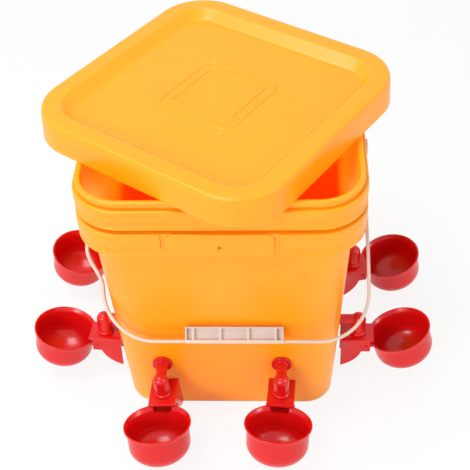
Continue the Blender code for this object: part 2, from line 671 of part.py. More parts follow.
def elbow_profile():
    """Dome, stem, spigot with its groove, snap lip and nozzle, then back up the water bore."""
    groove_top = PLATE_UNDER - 0.0003
    groove_foot = groove_top - GROOVE_HEIGHT
    lip = PLATE_UNDER - COLLAR_HEIGHT - GAP
    foot = PLATE_TOP + GAP
    bore = THREAD_BORE
    return [
        (0, DOME_RADIUS),
        *[(DOME_RADIUS * math.cos(math.radians(a)), DOME_RADIUS * math.sin(math.radians(a)))
          for a in (60, 30)],
        (DOME_RADIUS, 0),
        (DOME_RADIUS, foot + STEM_FOOT),
        (STEM_FOOT_RADIUS, foot + 0.7 * STEM_FOOT),
        (STEM_FOOT_RADIUS, foot),
        (SPIGOT_RADIUS, foot),
        (SPIGOT_RADIUS, groove_top),
        (GROOVE_RADIUS, groove_top),
        (GROOVE_RADIUS, groove_foot),
        (SPIGOT_RADIUS, groove_foot),
        (SPIGOT_RADIUS, lip),
        (LIP_RADIUS, lip),
        (LIP_RADIUS, lip - LIP_HEIGHT),
        (NOZZLE_RADIUS, -NOZZLE_BELOW),
        (SPIGOT_BORE, -NOZZLE_BELOW),
        (SPIGOT_BORE, PLATE_TOP),
        (bore, PLATE_TOP + 0.002),
        (bore, 0),
        (0, bore),
    ]


def make_elbow(unit, frame, material):
    """Flange and threaded tube along X, joined to the turned stem, with one open water way."""
    flange = FLANGE_THICK + GAP
    rear = -WALL - THREAD_INSIDE
    profile = [(0, rear), (THREAD_RADIUS - 0.0006, rear), (THREAD_RADIUS, rear + 0.0010),
               (THREAD_RADIUS, GAP), (FLANGE_RADIUS, GAP), (FLANGE_RADIUS - 0.0003, flange),
               (NECK_RADIUS, flange), (NECK_RADIUS, STEM_OUT - 0.0045), (0, STEM_OUT - 0.0045)]
    body = turned_along_x(profile, 12)
    follow_wall(body, unit, GAP)
    elbow = add_object(unit.name + "_inlet_elbow", body, material, frame)
    stem = turned(elbow_profile(), 12)
    stem.transform(Matrix.Translation((STEM_OUT, 0, 0)))
    stem = add_object(unit.name + "_stem_helper", stem, None, frame, helper=True)
    bore = cylinder_between((rear - 0.003, 0, 0), (STEM_OUT - 0.0005, 0, 0), THREAD_BORE * 0.8, 8)
    bore = add_object(unit.name + "_bore_helper", bore, None, frame, helper=True)
    combine(elbow, "UNION", [stem])
    combine(elbow, "DIFFERENCE", [bore])


def make_seal_and_nut(unit, frame, rubber, plastic_red):
    bore = THREAD_RADIUS + GAP
    face = -WALL - GAP
    rear = face - SEAL_THICK
    profile = [(bore, rear), (SEAL_RADIUS, rear), (SEAL_RADIUS, face), (bore, face)]
    seal = turned_along_x(profile, 12, closed=True)
    follow_wall(seal, unit, face)
    add_object(unit.name + "_wall_seal", seal, rubber, frame)
    front = rear - GAP
    back = front - NUT_THICK
    corner = NUT_ACROSS / math.sqrt(3)
    outline = [(corner * math.cos(math.radians(a)), corner * math.sin(math.radians(a)))
               for a in range(0, 360, 60)]
    nut = add_object(unit.name + "_lock_nut", prism(outline, back, front, along_x), plastic_red, frame)
    hole = cylinder_between((back - 0.002, 0, 0), (front + 0.002, 0, 0), bore, 14)
    combine(nut, "DIFFERENCE", [add_object(unit.name + "_nut_hole", hole, None, frame, helper=True)])


def make_o_ring(unit, frame, rubber):
    """A round section ring in the spigot's groove."""
    middle = PLATE_UNDER - 0.0003 - GROOVE_HEIGHT / 2
    inner = GROOVE_RADIUS + GAP
    outer = COLLAR_BORE - GAP
    half = (outer - inner) / 2
    high = min(RING_THICK / 2, GROOVE_HEIGHT / 2 - GAP)
    centre = (inner + outer) / 2
    profile = [(centre + half * math.cos(math.radians(a)), middle + high * math.sin(math.radians(a)))
               for a in range(0, 360, 72)]
    ring = turned(profile, 10, closed=True)
    ring.transform(Matrix.Translation((STEM_OUT, 0, 0)))
    add_object(unit.name + "_stem_o_ring", ring, rubber, frame)


def housing_outline():
    """The housing's cross section, an upside-down U, as (y, z)."""
    foot = PLATE_TOP - SIDE_DEPTH
    outer = HOUSING_HALF
    return [(-outer, PLATE_TOP), (-outer, foot), (-SIDE_INNER, foot), (-SIDE_INNER, PLATE_UNDER),
            (SIDE_INNER, PLATE_UNDER), (SIDE_INNER, foot), (outer, foot), (outer, PLATE_TOP)]


def side_cut_outline():
    """What is cut from the U, as (x, z): in front of the side plates and below their lower edge."""
    low = PLATE_TOP - SIDE_DEPTH - 0.004
    neck = PLATE_TOP - SIDE_NECK
    start = Vector((-PLATE_BACK, PLATE_TOP - SIDE_DEPTH + 0.0002))
    control = Vector((-0.0010, PLATE_TOP - SIDE_DEPTH + 0.0065))
    end = Vector((0.0035, neck))
    curve = []
    for step in range(5):
        t = step / 4
        curve.append(tuple(start * (1 - t) ** 2 + control * 2 * t * (1 - t) + end * t ** 2))
    under = PLATE_UNDER - FASCIA_DEPTH
    ahead = PLATE_FRONT + 0.004
    return [(-PLATE_BACK - 0.004, low), (-PLATE_BACK - 0.004, start.y), *curve,
            (SIDE_FRONT, neck), (SIDE_FRONT, under), (ahead, under), (ahead, low)]


def make_housing(unit, frame, material):
    housing = add_object(unit.name + "_valve_housing",
                         prism(housing_outline(), -PLATE_BACK, PLATE_FRONT, along_x), material, frame)
    fascia = box((PLATE_FRONT - FASCIA_THICK, -SIDE_INNER - 0.0005, PLATE_UNDER - FASCIA_DEPTH),
                 (PLATE_FRONT - 0.0001, SIDE_INNER + 0.0005, PLATE_UNDER + 0.0005))
    fascia = add_object(unit.name + "_fascia_helper", fascia, None, frame, helper=True)
    collar = cylinder_between((0, 0, PLATE_UNDER - COLLAR_HEIGHT), (0, 0, PLATE_UNDER + 0.0006),
                              COLLAR_RADIUS, 14)
    collar = add_object(unit.name + "_collar_helper", collar, None, frame, helper=True)
    edge = prism(side_cut_outline(), -HOUSING_HALF - 0.003, HOUSING_HALF + 0.003, along_y)
    edge = add_object(unit.name + "_edge_helper", edge, None, frame, helper=True)
    bore = cylinder_between((0, 0, PLATE_UNDER - COLLAR_HEIGHT - 0.002), (0, 0, PLATE_TOP + 0.002),
                            COLLAR_BORE, 14)
    bore = add_object(unit.name + "_collar_bore", bore, None, frame, helper=True)
    pin = (HINGE_OUT, -HINGE_BELOW)
    hole = cylinder_between((pin[0], -HOUSING_HALF - 0.003, pin[1]), (pin[0], HOUSING_HALF + 0.003, pin[1]),
                            PIN_BORE, 10)
    hole = add_object(unit.name + "_pin_bore", hole, None, frame, helper=True)
    combine(housing, "DIFFERENCE", [edge])
    combine(housing, "UNION", [collar, fascia])
    combine(housing, "DIFFERENCE", [bore, hole])


def make_pin(unit, frame, red):
    """A straight pin, proud of the housing on both sides."""
    end = HOUSING_HALF + PIN_PROUD
    pin = turned([(0, -end), (PIN_RADIUS, -end), (PIN_RADIUS, end), (0, end)], 12)
    pin.transform(Matrix.Translation((HINGE_OUT, 0, -HINGE_BELOW)) @ Matrix.Rotation(math.pi / 2, 4, "X"))
    add_object(unit.name + "_hinge_pin", pin, red, frame)


def cup_curve(radius, straight, depth, steps):
    """The round bottom as (radius, depth below the mouth), a quarter of an ellipse."""
    points = []
    for step in range(steps + 1):
        angle = math.pi / 2 * step / steps
        points.append((radius * math.cos(angle), -straight - (depth - straight) * math.sin(angle)))
    points[-1] = (0, -depth)
    return points


def bowl(profile):
    """A turned solid about the cup's axis, in the hinge's frame."""
    body = turned([(radius, CUP_RISE + depth) for radius, depth in profile], CUP_STEPS)
    body.transform(Matrix.Translation((CUP_OUT, 0, 0)))
    return body


def trough_outline(half, floor, top, corner):
    """A U with round lower corners, as (y, z)."""
    outline = arc((corner - half, floor + corner), corner, 180, 270, 2)
    outline += arc((half - corner, floor + corner), corner, 270, 360, 2)
    return outline + [(half, top), (-half, top)]


def pad_place():
    """The pad's centre behind the pin and its top, in the cup's frame, from the closed valve."""
    x = -HINGE_OUT
    z = HINGE_BELOW - NOZZLE_BELOW - GAP
    sin, cos = math.sin(CLOSED_RAISE), math.cos(CLOSED_RAISE)
    return x * cos + z * sin, z * cos - x * sin


def make_cup(unit, frame, material):
    lip = CUP_LIP_RADIUS
    inner = CUP_RADIUS - CUP_WALL
    flare = lip - CUP_WALL
    outer_shape = [(0, 0), (flare, 0), (lip, -0.0007), (lip - 0.0002, -0.0016), (CUP_RADIUS, -CUP_LIP)]
    outer_shape += cup_curve(CUP_RADIUS, CUP_STRAIGHT, CUP_DEPTH, 4)
    cup = add_object(unit.name + "_cup", bowl(outer_shape), material, frame)
    trough = prism(trough_outline(TROUGH_HALF, -TROUGH_BELOW, CUP_RISE - 0.0002, TROUGH_CORNER),
                   -TROUGH_BEHIND, TROUGH_INTO_CUP, along_x)
    trough = add_object(unit.name + "_trough_helper", trough, None, frame, helper=True)
    above = 0.004
    slope = (flare - inner) / CUP_LIP
    hollow_shape = [(0, above), (flare + above * slope, above), (inner, -CUP_LIP)]
    hollow_shape += cup_curve(inner, CUP_STRAIGHT, CUP_DEPTH - CUP_WALL, 3)
    hollow = add_object(unit.name + "_hollow_helper", bowl(hollow_shape), None, frame, helper=True)
    channel = prism(trough_outline(TROUGH_HALF - CUP_WALL, TROUGH_FLOOR, CUP_RISE + 0.006,
                                   TROUGH_CORNER - CUP_WALL),
                    CUP_WALL - TROUGH_BEHIND, TROUGH_INTO_CUP + 0.004, along_x)
    channel = add_object(unit.name + "_channel_helper", channel, None, frame, helper=True)
    hole = cylinder_between((0, -HOUSING_HALF, 0), (0, HOUSING_HALF, 0), PIN_BORE, 10)
    hole = add_object(unit.name + "_ear_bore", hole, None, frame, helper=True)
    pad_x, pad_top = pad_place()
    inside = PAD_RADIUS + GAP
    socket = turned([(inside, TROUGH_FLOOR - 0.0005), (inside + PAD_SOCKET_WALL, TROUGH_FLOOR - 0.0005),
                     (inside + PAD_SOCKET_WALL, TROUGH_FLOOR + PAD_SOCKET_HEIGHT),
                     (inside, TROUGH_FLOOR + PAD_SOCKET_HEIGHT)], 12, closed=True)
    socket.transform(Matrix.Translation((pad_x, 0, 0)))
    socket = add_object(unit.name + "_socket_helper", socket, None, frame, helper=True)
    combine(cup, "UNION", [trough])
    combine(cup, "DIFFERENCE", [hollow, channel, hole])
    combine(cup, "UNION", [socket])


def make_pad(unit, frame, rubber):
    """The rubber pad that closes the nozzle, in its socket on the trough's floor."""
    pad_x, top = pad_place()
    low = TROUGH_FLOOR + GAP
    pad = turned([(0, low), (PAD_RADIUS, low), (PAD_RADIUS - 0.0003, top), (0, top)], 12)
    pad.transform(Matrix.Translation((pad_x, 0, 0)))
    add_object(unit.name + "_valve_pad", pad, rubber, frame)


def spring_points(unit):
    """A helix from a level ring under the plate to a tilted ring round the pad's socket.

    It falls evenly and moves sideways with the square of the way, so that it clears the collar.
    """
    top = PLATE_UNDER - GAP - SPRING_WIRE
    pad_x, _ = pad_place()
    seat = TROUGH_FLOOR + GAP + SPRING_WIRE
    sin, cos = math.sin(unit.tilt), math.cos(unit.tilt)
    count = round(SPRING_TURNS * SPRING_POINTS)
    points = []
    for i in range(count + 1):
        angle = math.tau * SPRING_TURNS * i / count
        x, y = SPRING_RADIUS * math.cos(angle), SPRING_RADIUS * math.sin(angle)
        start = Vector((x, y, top))
        end = Vector((HINGE_OUT + (pad_x + x) * cos - seat * sin, y,
                      -HINGE_BELOW + (pad_x + x) * sin + seat * cos))
        point = start.lerp(end, i / count)
        point.x = start.x + (end.x - start.x) * (i / count) ** 2
        points.append(point)
    return points


def least_spring_gap(points):
    """The least clear distance between turns, over point pairs at least half a turn apart."""
    apart = SPRING_POINTS // 2 + 1
    least = min((a - b).length for i, a in enumerate(points) for b in points[i + apart:])
    return least - 2 * SPRING_WIRE


def make_spring(unit, frame, steel):
    points = spring_points(unit)
    name = unit.name + "_return_spring"
    print(f"{name}: least gap between turns {1000 * least_spring_gap(points):.2f} mm")
    curve = bpy.data.curves.new(name, "CURVE")
    curve.dimensions = "3D"
    curve.bevel_depth = SPRING_WIRE
    curve.bevel_resolution = 1
    curve.use_fill_caps = True
    spline = curve.splines.new("POLY")
    spline.points.add(len(points) - 1)
    for target, point in zip(spline.points, points):
        target.co = (*point, 1)
    curve.materials.append(steel)
    spring = bpy.data.objects.new(name, curve)
    spring.parent = frame
    bpy.context.scene.collection.objects.link(spring)


def make_unit(unit, red, rubber, steel):
    """One drinking unit: wall fitting, housing that turns on the stem, and hinged cup."""
    fitting = frame_empty(unit.name + "_fitting", fitting_frame(unit))
    make_elbow(unit, fitting, red)
    make_seal_and_nut(unit, fitting, rubber, red)
    make_o_ring(unit, fitting, rubber)
    swivel = frame_empty(unit.name + "_swivel", Matrix.Translation((STEM_OUT, 0, 0))
                         @ Matrix.Rotation(unit.turn, 4, "Z"), fitting)
    make_housing(unit, swivel, red)
    make_pin(unit, swivel, red)
    make_spring(unit, swivel, steel)
    hinge = frame_empty(unit.name + "_hinge", Matrix.Translation((HINGE_OUT, 0, -HINGE_BELOW))
                        @ Matrix.Rotation(-unit.tilt, 4, "Y"), swivel)
    make_cup(unit, hinge, red)
    make_pad(unit, hinge, rubber)


def main():
    clear_scene()
    yellow = plastic("yellow polypropylene", (0.98, 0.42, 0.03), 0.35)
    red = plastic("red polypropylene", (0.62, 0.012, 0.010), 0.35)
    white = plastic("white polyethylene", (0.85, 0.82, 0.80), 0.4)
    rubber = plastic("black rubber", (0.02, 0.02, 0.02), 0.7)
    steel = plastic("stainless steel", (0.62, 0.62, 0.60), 0.25, 1.0)
    make_pail(yellow)
    make_lid(yellow)
    make_bail(white)
    for unit in UNITS:
        make_unit(unit, red, rubber, steel)


main()
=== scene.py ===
"""Poultry cup drinker: a yellow pail with a loose lid, a white bail and six red drinking cups.

The shapes are surfaces worked out with numpy round the solid model of the same drinker, in metres,
with Z up and the front wall facing -Y. Where a shape repeats, it is made once in its own frame and
carried to each of its places.
"""

import json
import math

import bpy
import numpy as np
from mathutils import Matrix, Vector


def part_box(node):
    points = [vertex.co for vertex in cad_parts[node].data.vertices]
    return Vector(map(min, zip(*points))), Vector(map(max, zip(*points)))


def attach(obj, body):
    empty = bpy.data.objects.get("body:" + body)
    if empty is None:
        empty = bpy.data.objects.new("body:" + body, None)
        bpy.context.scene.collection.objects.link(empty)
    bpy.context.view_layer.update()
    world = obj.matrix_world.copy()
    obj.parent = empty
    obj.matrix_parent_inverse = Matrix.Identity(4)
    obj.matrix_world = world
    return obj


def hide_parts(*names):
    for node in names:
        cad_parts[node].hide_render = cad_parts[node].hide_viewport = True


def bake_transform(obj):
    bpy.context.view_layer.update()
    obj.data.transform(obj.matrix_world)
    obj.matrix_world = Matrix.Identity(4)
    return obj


bl_info = {
    "name": "Poultry Cup Drinker",
    "version": (1, 0, 0),
    "blender": (4, 5, 0),
    "location": "3D View > Sidebar > Drinker",
    "description": "Builds a square pail drinker with a lid, a bail and six tipping cups",
    "category": "Object",
}

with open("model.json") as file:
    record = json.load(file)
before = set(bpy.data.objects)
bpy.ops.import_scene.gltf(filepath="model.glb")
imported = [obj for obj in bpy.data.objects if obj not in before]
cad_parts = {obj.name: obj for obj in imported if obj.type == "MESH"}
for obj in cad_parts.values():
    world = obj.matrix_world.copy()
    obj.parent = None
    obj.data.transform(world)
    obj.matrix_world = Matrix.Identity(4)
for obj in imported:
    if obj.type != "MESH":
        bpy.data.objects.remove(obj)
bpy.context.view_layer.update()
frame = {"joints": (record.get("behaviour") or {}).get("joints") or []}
JOINTS = {joint["name"]: joint for joint in frame["joints"]}
UNITS = [name[:-len("_cup_tip")] for name in JOINTS if name.endswith("_cup_tip")]
WALL_NORMALS = {"front": (0, -1, 0), "left": (-1, 0, 0), "right": (1, 0, 0)}

GAP = 0.0003              # clearance between pieces that touch

# Pail
PAIL_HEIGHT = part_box("bucket")[1].z
BASE_HALF = 0.1038
RIM_HALF = 0.1250
RIM_WIDTH = 0.0047
WALL = 0.0022
FLOOR = 0.0026
BASE_CORNER = 0.0278
RIM_CORNER = 0.0409
SHOULDER_Z = 0.2280
UPPER_SKIRT_HALF = 0.1284
UPPER_SKIRT_Z = 0.2619
LOWER_SKIRT_HALF = 0.1289
LOWER_SKIRT_Z = 0.2315
SKIRT_WALL = 0.0018
SKIRT_THICK = 0.0036       # of a skirt's face, which is two walls thick
SKIRT_BAND = 0.0100        # height of the band under a skirt's face
BAND_STEP = 0.0017         # how far the band's upper end lies behind the face
BEAD_BACK = 0.0003
BEAD_HIGH = 0.0020
UPPER_WEB_BELOW = 0.0104
LOWER_WEB_BELOW = 0.0068
STEP_HEIGHT = 0.0050
LIP_HIGH = 0.0074
LIP_BACK = 0.0018
FOOT_ROUND = 0.0018
FLOOR_ROUND = 0.0040
WALL_TAPER = (RIM_HALF - RIM_WIDTH - BASE_HALF) / PAIL_HEIGHT
WALL_BOW = 0.0035         # share by which a wall's middle is drawn in between fittings and skirts
BOW_HALF = 0.085          # half the width of the drawn-in middle
BOW_LOW = 0.095
TAB_LEFT = -0.0453
TAB_RIGHT = 0.0468
TAB_TOP = 0.2576
TAB_CORNER = 0.0085
TAB_MARGIN = 0.0055
TAB_MARGIN_TOP = 0.0036
TAB_PROUD = 0.0003
TAB_HOLE_Z = 0.2419
TAB_HOLE_RADIUS = 0.0015
TAB_DISH_RADIUS = 0.0025
TAB_DISH_DEEP = 0.0009
TAB_FOOT_ROUND = 0.0008
TAB_EDGE = 0.0008
TAB_SHY = 0.0004           # by which the tab's back and the margin keep off the skirt's own edges

# Lid
LID_LOW, LID_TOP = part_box("lid")
LID_TURN = math.radians(56.0)
LID_HALF = 0.12775
LID_CORNER = 0.0495
LID_WALL = 0.0020
LID_EDGE_ROUND = 0.0050
LID_LEAN = 0.0012
LID_BAND_INNER = 0.1075
LID_BAND_CORNER = 0.0300
LID_BAND_EASE = 0.0026
LID_PANEL_HALF = 0.0985
LID_PANEL_CORNER = 0.0170
LID_PANEL_DROP = 0.0088
LID_PLUG_HALF = 0.1188
LID_PLUG_WALL = 0.0016
LID_PLUG_SHORT = 0.0006
LID_RIDGES = ((0.0415, 0.0110), (0.0320, 0.0050))
LID_RIDGE_WIDTH = 0.0030
LID_RIDGE_HEIGHT = 0.0013

# Bail
BAIL_PIVOT = JOINTS["bail_swing"]["pos_m"]
BAIL_REST = math.radians(42.5)
BAIL_LENGTH = 0.1819
BAIL_PIVOT_X = 0.1312
BAIL_RIGHT_HALF = 0.13449
BAIL_LEFT_HALF = 0.11619
BAIL_RIGHT_CORNER = 0.0455
BAIL_LEFT_CORNER = 0.0496
BAIL_RIGHT_STRAIGHT = 0.020
BAIL_LEFT_STRAIGHT = 0.094
BAIL_THICK = 0.0030
BAIL_DEEP = 0.0058
BOSS_PROUD = 0.0004
BOSS_RADIUS = 0.0110
DISC_RADIUS = 0.0080
PEG_RADIUS = 0.0030
PEG_LENGTH = 0.0070
BARB_RADIUS = 0.0042
BARB_LENGTH = 0.0016
PEG_HOLE_DEEP = 0.0085     # from the lower skirt's face, short of the wall
GRIP_LEFT = -0.0380
GRIP_RIGHT = 0.0544
GRIP_ABOVE = 0.0140
GRIP_BELOW = 0.0017
GRIP_REAR = 0.0026
GRIP_FRONT = 0.0046
GRIP_FLANGE = 0.0014
GRIP_POCKET = 0.0042
GRIP_POCKET_FOOT = 0.0034
GRIP_RIB_WIDTH = 0.0018
GRIP_RIBS = (-0.0304, -0.0048, 0.0213, 0.0472)

# Wall fitting
THREAD_RADIUS = 0.0050
THREAD_INSIDE = 0.0118
THREAD_BORE = 0.0026
FLANGE_RADIUS = 0.0098
FLANGE_THICK = 0.0030
NECK_RADIUS = 0.0054
SEAL_RADIUS = 0.0092
SEAL_THICK = 0.0022
NUT_ACROSS = 0.0170
NUT_THICK = 0.0060
STEM_OUT = 0.0235
DOME_RADIUS = 0.0076
STEM_FOOT_RADIUS = 0.0086
STEM_FOOT = 0.0028
PLATE_BELOW = 0.0174
SPIGOT_RADIUS = 0.0036
SPIGOT_BORE = 0.0013
GROOVE_RADIUS = 0.0024
GROOVE_HEIGHT = 0.0018
RING_THICK = 0.0011
LIP_RADIUS = 0.0043
LIP_HEIGHT = 0.0009
NOZZLE_BELOW = 0.0270
NOZZLE_RADIUS = 0.0021

# Valve housing
PLATE_THICK = 0.0022
PLATE_BACK = 0.0177
PLATE_FRONT = 0.0159
HOUSING_HALF = 0.0133
SIDE_WALL = 0.0020
SIDE_FRONT = 0.0124
SIDE_DEPTH = 0.0356
SIDE_NECK = 0.0155
SIDE_INSET = 0.00012      # side plates' faces behind the plate's edge
FASCIA_DEPTH = 0.0009
FASCIA_THICK = 0.0016
COLLAR_WALL = 0.0009
COLLAR_HEIGHT = 0.0036
COLLAR_CLEAR = 0.0004
PLATE_TOP = -PLATE_BELOW
PLATE_UNDER = PLATE_TOP - PLATE_THICK
COLLAR_BORE = SPIGOT_RADIUS + COLLAR_CLEAR
COLLAR_RADIUS = COLLAR_BORE + COLLAR_WALL
SIDE_INNER = HOUSING_HALF - SIDE_WALL

# Cup and hinge
HINGE_OUT = 0.0085
HINGE_BELOW = 0.0262
PIN_RADIUS = 0.0015
PIN_PROUD = 0.0009
CLOSED_TILT = math.radians(5.0)
CUP_OUT = 0.0353
CUP_RISE = 0.0031
CUP_RADIUS = 0.0299
CUP_LIP_RADIUS = 0.0325
CUP_LIP = 0.0046
CUP_STRAIGHT = 0.0210
CUP_DEPTH = 0.0410
CUP_WALL = 0.0016
TROUGH_CLEAR = 0.0004
TROUGH_BEHIND = 0.0176
TROUGH_BELOW = 0.0060
TROUGH_CORNER = 0.0042
TROUGH_INTO_CUP = 0.0100
TROUGH_HALF = SIDE_INNER - TROUGH_CLEAR
TROUGH_FLOOR = CUP_WALL - TROUGH_BELOW
PAD_RADIUS = 0.0030
PAD_SOCKET_WALL = 0.0009
PAD_SOCKET_HEIGHT = 0.0014
SPRING_RADIUS = 0.0057
SPRING_TURNS = 3.5

# Camera, from the photograph's perspective
CAMERA_PLACE = (0.054786, -0.757926, 0.836659)
CAMERA_YAW = -0.065
CAMERA_PITCH = 0.743
CAMERA_ROLL = 0.047
CAMERA_LENS = 77.75
CAMERA_SENSOR = 36.0


# Meshes

def new_mesh(name, points, faces):
    """A mesh from points and faces, turned inside out if its signed volume is negative."""
    mesh = bpy.data.meshes.new(name)
    mesh.from_pydata(points, [], faces)
    mesh.update()
    mesh.calc_loop_triangles()
    corners = np.empty(3 * len(mesh.loop_triangles), np.int32)
    mesh.loop_triangles.foreach_get("vertices", corners)
    a, b, c = points[corners.reshape(-1, 3)].transpose(1, 0, 2)
    if np.einsum("ij,ij->", a, np.cross(b, c)) < 0:
        mesh.flip_normals()
    return mesh


def new_object(name, mesh):
    obj = bpy.data.objects.new(name, mesh)
    bpy.context.scene.collection.objects.link(obj)
    return obj


def quads(rows, columns, wrap_rows=False):
    """Corner numbers of the quads on a grid whose columns close on themselves."""
    row = np.arange(rows if wrap_rows else rows - 1)[:, None]
    column = np.arange(columns)[None, :]
    above = (row + 1) % rows
    beside = (column + 1) % columns
    corners = (row * columns + column, row * columns + beside, above * columns + beside,
               above * columns + column)
    return np.stack(corners, axis=-1).reshape(-1, 4)


def loft(rings, closed=False):
    """Rings of points as (rings, points, 3): walls between them, and a flat face on each end.

    With closed, the last ring is joined to the first instead.
    """
    rings = np.asarray(rings, float)
    rows, columns = rings.shape[:2]
    faces = quads(rows, columns, closed).tolist()
    if not closed:
        faces.append(list(range(columns))[::-1])
        faces.append(list(range((rows - 1) * columns, rows * columns)))
    return rings.reshape(-1, 3), faces


def turned(profile, steps=48, closed=False):
    """A profile of (radius, height) turned about Z: (r cos a, r sin a, h) for all angles a.

    An open profile starts and ends on the axis, where its ring shrinks to one pole.
    """
    profile = np.asarray(profile, float)
    angle = np.linspace(0, math.tau, steps, endpoint=False)
    body = profile if closed else profile[1:-1]
    circle = np.stack([np.cos(angle), np.sin(angle)], axis=-1)
    flat = body[:, None, :1] * circle[None]
    high = np.broadcast_to(body[:, None, 1:], (len(body), steps, 1))
    points, faces = loft(np.concatenate([flat, high], axis=-1), closed)
    if closed:
        return points, faces
    last = (len(body) - 1) * steps
    poles = np.array([[0, 0, profile[0, 1]], [0, 0, profile[-1, 1]]])
    faces = faces[:-2]
    faces += [[len(points), (i + 1) % steps, i] for i in range(steps)]
    faces += [[len(points) + 1, last + i, last + (i + 1) % steps] for i in range(steps)]
    return np.vstack([points, poles]), faces


def filleted(points, radii, steps=5):
    """A line of points whose corners are eased: each corner becomes a quadratic curve.

    The curve leaves and meets the line a tangent length away from the corner, which is the radius
    times the tangent of half the turn, held under half of each neighbouring stretch.
    """
    points = np.asarray(points, float)
    radii = np.broadcast_to(np.asarray(radii, float), len(points))[1:-1]
    before = points[:-2] - points[1:-1]
    after = points[2:] - points[1:-1]
    length_before = np.linalg.norm(before, axis=1)
    length_after = np.linalg.norm(after, axis=1)
    before /= length_before[:, None]
    after /= length_after[:, None]
    turn = np.pi - np.arccos(np.clip(np.sum(before * after, axis=1), -1, 1))
    reach = np.minimum(radii * np.tan(turn / 2), 0.49 * np.minimum(length_before, length_after))
    share = np.linspace(0, 1, steps + 1)[None, :, None]
    corner = points[1:-1, None]
    start = corner + (before * reach[:, None])[:, None]
    end = corner + (after * reach[:, None])[:, None]
    curve = (1 - share) ** 2 * start + 2 * share * (1 - share) * corner + share ** 2 * end
    line = np.vstack([points[:1], curve.reshape(-1, points.shape[1]), points[-1:]])
    apart = np.linalg.norm(np.diff(line, axis=0), axis=1) > 1e-7
    return line[np.concatenate([[True], apart])]


def filleted_loop(points, radii, steps=5):
    """As filleted, for a line that closes on itself."""
    points = np.asarray(points, float)
    radii = np.broadcast_to(np.asarray(radii, float), len(points))
    middle = (points[-1] + points[0]) / 2
    line = filleted(np.vstack([middle, points, middle]), np.concatenate([[0], radii, [0]]), steps)
    return line[:-1]


def rounded_squares(half, corner, corner_steps=14, side_steps=10):
    """Rings round squares of the given half widths and corner radii, as (rings, points, 2).

    Each corner is a quarter circle about a centre that lies the radius in from both sides, and each
    side is divided evenly between its two corners.
    """
    half = np.atleast_1d(half)[:, None, None]
    corner = np.atleast_1d(corner)[:, None, None]
    start = np.arange(4)[None, :, None] * math.pi / 2
    angle = start + np.linspace(0, math.pi / 2, corner_steps + 1)[None, None, :]
    sign_x = np.sign(np.cos(start + math.pi / 4))
    sign_y = np.sign(np.sin(start + math.pi / 4))
    x = sign_x * (half - corner) + corner * np.cos(angle)
    y = sign_y * (half - corner) + corner * np.sin(angle)
    arcs = np.stack([x, y], axis=-1)
    share = (np.arange(1, side_steps) / side_steps)[None, None, :, None]
    ends = np.roll(arcs[:, :, :1], -1, axis=1)
    sides = arcs[:, :, -1:] * (1 - share) + ends * share
    return np.concatenate([arcs, sides], axis=2).reshape(len(half), -1, 2)


def inset_outline(outline, amount):
    """A closed flat outline moved inwards along its normals, which bisect its corners."""
    ahead = np.roll(outline, -1, axis=0) - outline
    behind = outline - np.roll(outline, 1, axis=0)
    ahead /= np.linalg.norm(ahead, axis=1, keepdims=True)
    behind /= np.linalg.norm(behind, axis=1, keepdims=True)
    normal = np.stack([-(ahead + behind)[:, 1], (ahead + behind)[:, 0]], axis=-1)
    normal /= np.maximum(np.sum(normal * np.stack([-ahead[:, 1], ahead[:, 0]], axis=-1),
                                axis=1, keepdims=True), 0.2)
    area = np.sum(outline[:, 0] * np.roll(outline[:, 1], -1) - outline[:, 1] * np.roll(outline[:, 0], -1))
    return outline + normal * amount * np.sign(area)


def slab(outline, low, high, edge, axes="xyz", steps=4):
    """A flat outline carried from low to high with its edges rounded by quarter circles.

    axes names the axes that the outline's two coordinates and the height lie along.
    """
    outline = np.asarray(outline, float)
    angle = np.linspace(0, math.pi / 2, steps + 1)
    inset = edge * (1 - np.sin(angle))
    rise = edge * (1 - np.cos(angle))
    insets = np.concatenate([inset, inset[::-1]])
    heights = np.concatenate([low + rise, high - rise[::-1]])
    rings = np.empty((len(insets), len(outline), 3))
    order = ["xyz".index(axis) for axis in axes]
    for ring, amount, height in zip(rings, insets, heights):
        ring[:, order[:2]] = inset_outline(outline, amount)
        ring[:, order[2]] = height
    return loft(rings)


def tube_along(line, radius, sides=12, first=None):
    """A round tube along a line of points, with flat ends.

    The circle stands square to the line, on two normals that are carried without twist for a
    helix about Z: one points away from the axis, the other is square to it and to the line.
    """
    line = np.asarray(line, float)
    tangent = np.gradient(line, axis=0)
    tangent /= np.linalg.norm(tangent, axis=1, keepdims=True)
    out = np.asarray(first, float)
    out = out - tangent * np.sum(out * tangent, axis=1, keepdims=True)
    out /= np.linalg.norm(out, axis=1, keepdims=True)
    side = np.cross(tangent, out)
    angle = np.linspace(0, math.tau, sides, endpoint=False)[None, :, None]
    rings = line[:, None] + radius * (np.cos(angle) * out[:, None] + np.sin(angle) * side[:, None])
    return loft(rings)


def along_x(shape):
    """A shape about Z laid with its axis along X."""
    points, faces = shape
    return points[:, [2, 0, 1]], faces


def along_y(shape):
    """A shape about Z laid with its axis along Y."""
    points, faces = shape
    return points[:, [1, 2, 0]], faces


def moved(shape, offset):
    points, faces = shape
    return points + np.asarray(offset, float), faces


def cylinder(radius, low, high, steps=32):
    return turned([(0, low), (radius, low), (radius, high), (0, high)], steps)


def box(low, high, edge, axes="xyz"):
    """A block from one corner to the other, with rounded edges along its last axis's ends."""
    order = ["xyz".index(axis) for axis in axes]
    (u0, v0, w0), (u1, v1, w1) = [[corner[i] for i in order] for corner in (low, high)]
    outline = filleted_loop([(u0, v0), (u1, v0), (u1, v1), (u0, v1)], edge, 4)
    return slab(outline, w0, w1, edge * 0.8, axes)


